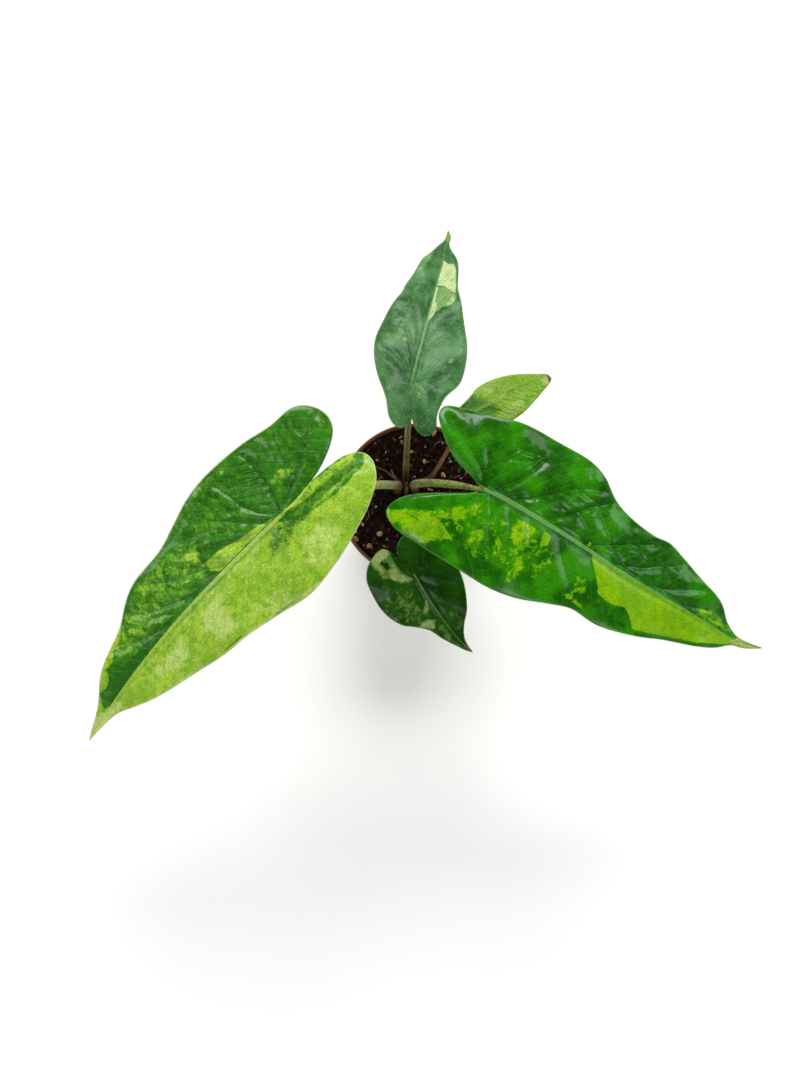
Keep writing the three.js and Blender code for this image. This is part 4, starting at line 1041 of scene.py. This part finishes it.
def leaf_skin(name, tones, rough, coat, ragged=0.55, mottle=0.4, grain=0.35, minor=0.3, rim=0.6,
              rings=0.0, rib_wide=0.7):
    """Living leaf: cloudy green with lime and cream sectors, ragged where they meet along the veins.

    Its gloss is a thin waxy coat alone. The shares from ragged on say how much the sectors' edges are
    torn, the tissue mottled and grained, and how strongly small veins, margin and rings are drawn.
    """
    skin = Skin(name, rough, 0.0)
    flat = skin.flat_leaf()
    green, dark, light, lime, warm, pale, cream, edge, rib = (paint(*tone) for tone in tones)
    broad = skin.clouds(flat, 0.06, 2)
    soft = skin.clouds(flat, 0.24, 3)
    blotch = skin.clouds(skin.placed(flat, shift=(31, 17, 0)), 0.34, 4, 0.65)
    fine = skin.clouds(flat, 1.3, 3, 0.6)
    chips = skin.cell_tints(flat, 1.0)
    shards = skin.cell_tints(flat, 0.36)
    streaks = skin.clouds(skin.placed(skin.folded(flat), (0.3, 1.2, 1), -24), 1, 3, 0.6)
    netted = skin.cells(flat, 0.62, feature="DISTANCE_TO_EDGE")
    torn = skin.math("MULTIPLY", soft, 0.9)
    torn = skin.plus(torn, shards[0], 0.35)
    torn = skin.plus(torn, chips[0], 0.3)
    torn = skin.math("MULTIPLY", skin.math("SUBTRACT", torn, 0.78), ragged)

    body = skin.mix(skin.ramp(broad, 0.38, 0.62), dark, green)
    paler = skin.plus(blotch, chips[1], 0.1)
    body = skin.mix(skin.ramp(paler, 0.5, 0.75, 0, mottle), body, light)
    body = skin.mix(skin.ramp(streaks, 0.45, 0.7, 0, 0.3), body, dark)
    body = skin.mix(skin.ramp(fine, 0.45, 0.75, 0, grain), body, dark)
    warmer = skin.plus(broad, soft, 0.6)
    bright = skin.mix(skin.ramp(warmer, 0.65, 0.95), lime, warm)
    bright = skin.mix(skin.ramp(soft, 0.3, 0.52, 1.2 * mottle, 0), bright, skin.mix(0.5, lime, light))
    bright = skin.mix(skin.ramp(blotch, 0.36, 0.56, mottle, 0), bright, skin.mix(0.6, lime, light))
    bright = skin.mix(skin.ramp(streaks, 0.5, 0.7, 0, mottle), bright, pale)
    bright = skin.mix(skin.ramp(netted, 0.0, 0.1, 0.3 * mottle, 0), bright, light)
    bright = skin.mix(skin.ramp(fine, 0.45, 0.75, 0, 0.5 * grain), bright, pale)
    creamy = skin.mix(skin.ramp(blotch, 0.4, 0.7, 0, 0.7), cream, pale)

    lime_field = skin.math("ADD", skin.value("lime"), torn)
    haze_share = skin.ramp(skin.plus(lime_field, fine, 0.2), 0.4, 0.62)
    deep_share = skin.ramp(skin.math("ADD", skin.value("deep"), torn), 0.3, 0.75)
    cream_share = skin.ramp(skin.math("ADD", skin.value("cream"), torn), 0.36, 0.76)
    patched = skin.mix(haze_share, body, light)
    patched = skin.mix(skin.ramp(lime_field, 0.46, 0.66), patched, bright)
    patched = skin.mix(cream_share, patched, creamy)
    patched = skin.mix(deep_share, patched, skin.mix(skin.ramp(blotch, 0.35, 0.75, 0, 0.6), dark, green))
    dry_brown = (0.12, 0.06, 0.03)
    patched = skin.mix(skin.ramp(skin.math("ADD", skin.value("dead"), torn), 0.4, 0.6), patched, dry_brown)

    veined = skin.mix(skin.ramp(netted, 0.0, 0.1, 0.12, 0), patched, dark)
    rank = skin.plus(skin.value("vein_rank"), soft, 0.5)
    rung = skin.math("PINGPONG", rank, 0.5)
    veined = skin.mix(skin.ramp(rung, 0.0, 0.09, minor, 0), veined, light)
    # Dark lines along the sunken side veins, darker where the grooves are deeper: partly the veins' own
    # darker green, partly painted shade in the grooves
    line = skin.math("ABSOLUTE", skin.value("vein_side"))
    close = skin.ramp(skin.value("vein_far"), 0.8, 2.0, 1, 0)
    cut = skin.math("MULTIPLY", close, skin.ramp(skin.value("vein_depth"), 0.1, 1.2, 0.2, 1))
    veined = skin.mix(skin.math("MULTIPLY", skin.ramp(line, 0.1, 0.5, 0.5, 0), cut), veined, dark)
    # The midrib in its own tone; on the glossy green leaf that tone is lightened, a painted highlight along
    # the raised rib
    from_rib = skin.math("ABSOLUTE", skin.value("midrib_off"))
    width = skin.ramp(skin.value("up_leaf"), 0.0, 0.9, 1.1 * rib_wide, 0.4 * rib_wide)
    on_rib = skin.math("MULTIPLY", skin.ramp(skin.math("DIVIDE", from_rib, width), 0.7, 1.1, 0.8, 0),
                       skin.ramp(skin.value("up_leaf"), -0.02, 0.01))
    ribbed = skin.mix(on_rib, veined, rib)
    margin = skin.ramp(skin.value("margin"), 0.3, 0.7, rim, 0)
    edged = skin.mix(margin, ribbed, edge)
    spots = skin.cells(flat, 0.085)
    picked = skin.cell_tints(flat, 0.085)[0]
    ring = skin.math("ABSOLUTE", skin.math("SUBTRACT", spots, 0.085))
    ring = skin.math("MULTIPLY", skin.ramp(ring, 0.012, 0.04, rings, 0), skin.ramp(picked, 0.5, 0.55))
    edged = skin.mix(ring, edged, light)
    skin.colour(skin.mix(skin.math("MULTIPLY", skin.value("underside"), 0.4), edged, pale))

    swell = skin.ramp(netted, 0.0, 0.3, 0, 0.8)
    relief = skin.plus(swell, soft, 1.2)
    relief = skin.plus(relief, fine, 0.35)
    relief = skin.math("ADD", relief, skin.ramp(rung, 0.0, 0.22, 0, 0.9))
    sunk = skin.math("MULTIPLY", skin.ramp(line, 0.0, 0.7, 1.2, 0), cut)
    skin.bump(skin.math("SUBTRACT", relief, sunk), 0.6, 0.0004)
    duller = skin.plus(fine, skin.value("underside"), 0.4)
    skin.rough(skin.ramp(duller, 0.3, 1.0, rough - 0.05, rough + 0.2))
    skin.shader.inputs["Coat Weight"].default_value = coat
    skin.shader.inputs["Coat Roughness"].default_value = COAT_ROUGHNESS
    return skin.material


def stalk_skin(name, base, olive, fleck, fleck_share, green_from):
    """Stalk: brown at the foot, olive green above, mottled with small brown flecks."""
    skin = Skin(name, 0.42, 0.12)
    place = skin.place()
    up = skin.value("up_stalk")
    cloud = skin.clouds(place, 180, 3)
    height = skin.plus(up, cloud, 0.15)
    tone = skin.mix(skin.ramp(height, green_from, green_from + 0.2), base, olive)
    tone = skin.mix(skin.ramp(cloud, 0.35, 0.75, 0, 0.5), tone, base)
    spots = skin.ramp(skin.clouds(place, 760, 4, 0.6), 0.6 - fleck_share, 0.7 - fleck_share)
    tone = skin.mix(skin.math("MULTIPLY", spots, 0.85), tone, fleck)
    skin.colour(tone)
    skin.bump(skin.clouds(place, 1400, 3), 0.3, 0.0001)
    skin.rough(skin.ramp(cloud, 0.3, 0.7, 0.36, 0.55))
    return skin.material


def mix_skin():
    """Damp dark mix with fine fibres and crumbs of bark."""
    skin = Skin("damp_potting_mix", 0.95, 0.05)
    place = skin.place()
    crumb = skin.clouds(place, 420, 5, 0.65)
    fleck = skin.cell_tints(place, 900)[0]
    fibre = skin.clouds(skin.placed(place, (0.22, 1.4, 1), 38), 900, 3, 0.6, 1.2)
    tone = skin.mix(skin.ramp(crumb, 0.35, 0.7), paint(17, 12, 10), paint(48, 34, 26))
    tone = skin.mix(skin.ramp(fibre, 0.62, 0.74, 0, 0.6), tone, paint(76, 56, 42))
    tone = skin.mix(skin.ramp(fleck, 0.93, 0.99), tone, paint(112, 84, 64))
    tone = skin.mix(skin.ramp(skin.clouds(place, 60, 2), 0.45, 0.7, 0, 0.5), tone, paint(28, 19, 15))
    skin.colour(tone)
    skin.bump(skin.plus(crumb, fleck, 0.3), 0.9, 0.0009)
    skin.rough(skin.ramp(crumb, 0.3, 0.7, 0.7, 0.98))
    return skin.material


def grain_skin(name, light, dark, rough=0.85):
    """Pumice, grit, bark or dead stalk: two tones, clouded, and different from grain to grain."""
    skin = Skin(name, rough, 0.12)
    place = skin.place()
    cloud = skin.clouds(place, 500, 4, 0.6)
    each = skin.cell_tints(place, 160)[0]
    shade = skin.plus(cloud, each, 0.5)
    tone = skin.mix(skin.ramp(shade, 0.45, 1.05), light, dark)
    skin.colour(tone)
    skin.bump(cloud, 0.7, 0.0004)
    return skin.material


def corm_skin():
    """Corm bark and the dry sheath above it, reddish brown with fine lengthwise lines."""
    skin = Skin("corm_bark", 0.6, 0.12)
    place = skin.place()
    cloud = skin.clouds(place, 260, 4)
    lines = skin.clouds(skin.placed(place, (1, 1, 0.12)), 1500, 2)
    tone = skin.mix(skin.ramp(cloud, 0.35, 0.65), paint(88, 60, 42), paint(128, 90, 62))
    tone = skin.mix(skin.ramp(lines, 0.5, 0.7, 0, 0.6), tone, paint(74, 42, 30))
    skin.colour(tone)
    skin.bump(skin.math("ADD", cloud, lines), 0.5, 0.0003)
    skin.rough(skin.ramp(cloud, 0.3, 0.7, 0.5, 0.7))
    return skin.material


def pot_skin():
    """Brown moulded plastic, dusted with dry mix inside and dulled in patches."""
    skin = Skin("brown_pot_plastic", 0.5, 0.22)
    place = skin.place()
    broad = skin.clouds(place, 45, 3)
    grime = skin.clouds(place, 210, 5, 0.65)
    tone = skin.mix(skin.ramp(broad, 0.3, 0.7), paint(104, 68, 46), paint(120, 78, 52))
    tone = skin.mix(skin.ramp(grime, 0.55, 0.75, 0, 0.6), tone, paint(70, 46, 32))
    scuff = skin.clouds(skin.placed(place, (1, 1, 14)), 90, 4)
    tone = skin.mix(skin.ramp(scuff, 0.62, 0.8, 0, 0.3), tone, paint(168, 120, 88))
    skin.colour(tone)
    skin.bump(skin.clouds(place, 1800, 2), 0.12, 0.00015)
    skin.rough(skin.ramp(grime, 0.35, 0.75, 0.42, 0.68))
    return skin.material


def floor_skin():
    """Pale matt floor, all but even."""
    skin = Skin("pale_floor", 0.85, 0.2)
    cloud = skin.clouds(skin.place(), 3, 2)
    skin.colour(skin.mix(skin.ramp(cloud, 0.3, 0.7), (0.86, 0.86, 0.85), (0.9, 0.9, 0.89)))
    return skin.material


# Each leaf's tones in turn: green, dark green, light green, lime, warm lime, pale green, cream,
# margin and midrib
SKINS = {
    "left_leaf": leaf_skin(
        "chartreuse_leaf",
        ((60, 130, 36), (44, 106, 26), (98, 162, 44), (148, 196, 46), (178, 214, 64), (204, 230, 118),
         (200, 224, 124), (212, 222, 164), (186, 214, 98)),
        rough=0.42, coat=0.3, mottle=0.6, grain=0.3, rim=0.8),
    # Its midrib tone (112, 174, 88) is lighter than the rib's own mid-green: a painted highlight along the
    # glossy raised midrib
    "right_leaf": leaf_skin(
        "glossy_green_leaf",
        ((54, 148, 8), (28, 90, 8), (78, 158, 12), (124, 182, 12), (146, 198, 18), (160, 200, 50),
         (206, 224, 136), (96, 156, 44), (112, 174, 88)),
        rough=0.42, coat=0.4, ragged=0.85, mottle=0.26, grain=0.16, minor=0.25, rim=0.6, rings=0.3,
        rib_wide=0.8),
    "back_leaf": leaf_skin(
        "blue_green_leaf",
        ((100, 150, 96), (54, 100, 54), (112, 162, 100), (122, 166, 88), (138, 176, 102), (160, 196, 128),
         (216, 232, 166), (124, 170, 94), (112, 158, 98)),
        rough=0.5, coat=0.14, ragged=0.5, mottle=0.5, grain=0.6, rim=0.5, rib_wide=0.5),
    "small_back_leaf": leaf_skin(
        "yellow_green_leaf",
        ((92, 146, 54), (74, 130, 46), (114, 164, 54), (142, 186, 56), (158, 198, 72), (178, 212, 108),
         (192, 212, 128), (166, 198, 104), (136, 180, 72)),
        rough=0.48, coat=0.14, ragged=0.4, mottle=0.5, rim=0.3, rib_wide=0.5),
    "small_front_leaf": leaf_skin(
        "dark_green_leaf",
        ((42, 98, 26), (28, 68, 16), (66, 116, 38), (104, 140, 56), (124, 156, 72), (138, 166, 90),
         (178, 198, 126), (126, 154, 94), (124, 158, 90)),
        rough=0.42, coat=0.2, ragged=0.8, mottle=0.5, rim=0.5, rib_wide=0.4),
}
# Each stalk's brown, green and fleck, the flecks' share, and how far up the green starts
STALK_SKINS = {
    "left_leaf": stalk_skin(
        "pale_green_stalk", paint(92, 70, 44), paint(146, 154, 88), paint(98, 82, 50), 0.06, 0.54),
    "right_leaf": stalk_skin(
        "flecked_stalk", paint(104, 80, 48), paint(138, 150, 74), paint(84, 58, 34), 0.09, 0.5),
    "back_leaf": stalk_skin(
        "olive_stalk", paint(88, 64, 42), paint(118, 118, 66), paint(74, 54, 32), 0.07, 0.3),
    "small_back_leaf": stalk_skin(
        "brown_stalk", paint(112, 76, 50), paint(132, 98, 62), paint(80, 54, 36), 0.04, 0.3),
    "small_front_leaf": stalk_skin(
        "dull_stalk", paint(98, 66, 44), paint(112, 106, 62), paint(70, 48, 30), 0.05, 0.3),
}


# The plant
for leaf_name, leaf in LEAVES.items():
    blade = grow_blade(leaf_name, leaf)
    finish_piece(blade, SKINS[leaf_name], leaf_name, leaf_name + "_blade")
    stalk_slot = "young_stalk" if leaf_name in ("left_leaf", "right_leaf") else "old_stalk"
    finish_piece(grow_stalk(leaf_name), STALK_SKINS[leaf_name], stalk_slot, leaf_name + "_stalk")

finish_piece(heap_mix(), mix_skin(), "potting_mix", "potting_mix")
finish_piece(turn_corm(), corm_skin(), "corm", "corm")
finish_piece(turn_pot(), pot_skin(), "pot", "pot")

# Where the larger grains lie, with each one's half-size
TAN_PLACES = [(-2.4, 23.6, 1), (8.9, 33, 1.15), (13.2, 12.3, 1.3), (-17.5, -16.6, 1.3), (-29.2, -19.1, 1.2),
              (-22.8, -22.5, 1.2), (31.2, 9.2, 1), (6.3, 5.1, 1), (-26, -12, 0.9), (4, 19, 0.8)]
GREY_PLACES = [(2.5, 14.3, 0.6), (-19.5, -3.4, 0.7), (-25.8, -12.3, 0.6), (-25.3, -22, 0.6),
               (16.7, 18.7, 0.7), (17.7, 23.6, 0.6), (12.3, 19.2, 0.6), (4.5, 26.1, 0.6), (-14, 20, 0.5),
               (24, 26, 0.6)]
tan = scatter("tan_pumice", 16, 0.7, 1.2, 7, places=TAN_PLACES)
finish_piece(tan, grain_skin("tan_grain", paint(182, 138, 102), paint(126, 88, 60)), "potting_mix")
grey = scatter("grey_grit", 24, 0.45, 1.1, 8, places=GREY_PLACES)
finish_piece(grey, grain_skin("grey_grain", paint(172, 168, 158), paint(96, 92, 88)), "potting_mix")
bark = scatter("bark_chips", 130, 0.8, 1.8, 9)
finish_piece(bark, grain_skin("dark_bark", paint(50, 35, 27), paint(24, 17, 14)), "potting_mix")

# Dead strands on the mix: each one's points, height above the mix, and its half-widths
STRANDS = {
    "brown_strand": ([(-20, 16.4, 0.4), (-15.6, 14.5, 0.9), (-10.2, 10.4, 1.6), (-8, 8.4, 1)], 0.55, 0.35),
    "short_strand": ([(-12.2, 14.9, 0.6), (-11, 12.2, 1.4), (-10.2, 9.9, 1.8)], 0.45, 0.3),
    "grey_hook": ([(23.5, 17.1, 0.5), (24.6, 14.4, 0.9), (23.9, 12, 0.9), (22.5, 10.7, 0.3)], 0.45, 0.25),
    "curled_root": ([(9, 27, 0.3), (12, 28.6, 0.9), (15, 27.6, 0.8), (17, 25.4, 0.3)], 0.3, 0.16),
    "left_root": ([(-27, -2, 0.3), (-24, -4.6, 0.8), (-23, -8, 0.8), (-24.4, -10.6, 0.3)], 0.32, 0.18),
}
dead_skin = grain_skin("dead_strand", paint(126, 92, 66), paint(84, 58, 42), 0.6)
for strand_name, (points, wide, slim) in STRANDS.items():
    finish_piece(lay_strand(strand_name, points, wide, slim), dead_skin, "potting_mix")

# Floor, light and camera
FLOOR_SIZE = 8
LIGHT_AIM = Vector((0, 0, 0.1))
deselect()
bpy.ops.mesh.primitive_plane_add(size=FLOOR_SIZE, location=(0, 0, 0))
floor = bpy.context.object
floor.name = "pale_floor_sheet"
floor.data.materials.append(floor_skin())


def hang_light(name, at, size, watts):
    """A soft oblong panel that looks at the plant."""
    lamp = bpy.data.lights.new(name, "AREA")
    lamp.shape = "RECTANGLE"
    lamp.size, lamp.size_y = size
    lamp.energy = watts
    holder = bpy.data.objects.new(name, lamp)
    holder.location = at
    holder.rotation_euler = (LIGHT_AIM - Vector(at)).to_track_quat("-Z", "Y").to_euler()
    bpy.context.scene.collection.objects.link(holder)


# Four soft panels stand round the table, the brightest at the back
hang_light("back_panel", (0.2, 1.75, 1.5), (1.3, 0.7), 48)
hang_light("left_panel", (-1.8, 0.3, 1.4), (1.0, 1.0), 20)
hang_light("right_panel", (1.8, 0.3, 1.4), (1.0, 1.0), 16)
hang_light("front_panel", (0, -1.8, 1.4), (1.4, 0.8), 20)

# The room is pale all round and dimmer above
world = bpy.data.worlds.new("pale_horizon")
world.use_nodes = True
sky = world.node_tree
ways = sky.nodes.new("ShaderNodeTexCoord")
split = sky.nodes.new("ShaderNodeSeparateXYZ")
fade = sky.nodes.new("ShaderNodeMapRange")
fade.interpolation_type = "SMOOTHSTEP"
for key, number in (("From Min", 0.1), ("From Max", 0.42), ("To Min", 0.6), ("To Max", 0.13)):
    fade.inputs[key].default_value = number
sky.links.new(ways.outputs["Generated"], split.inputs[0])
sky.links.new(split.outputs["Z"], fade.inputs["Value"])
sky.links.new(fade.outputs["Result"], sky.nodes["Background"].inputs["Strength"])
sky.nodes["Background"].inputs["Color"].default_value = (1, 1, 1, 1)
bpy.context.scene.world = world
bpy.context.scene.view_settings.view_transform = "Standard"

lens = bpy.data.cameras.new("photo_camera")
lens.lens = CAMERA_LENS
lens.sensor_width = SENSOR_WIDTH
lens.clip_start = NEAR_CLIP
camera = bpy.data.objects.new("photo_camera", lens)
camera.location = Vector(CAMERA_AT) * MM
camera.rotation_euler = (math.radians(CAMERA_LEAN), 0, 0)
bpy.context.scene.collection.objects.link(camera)
bpy.context.scene.camera = camera
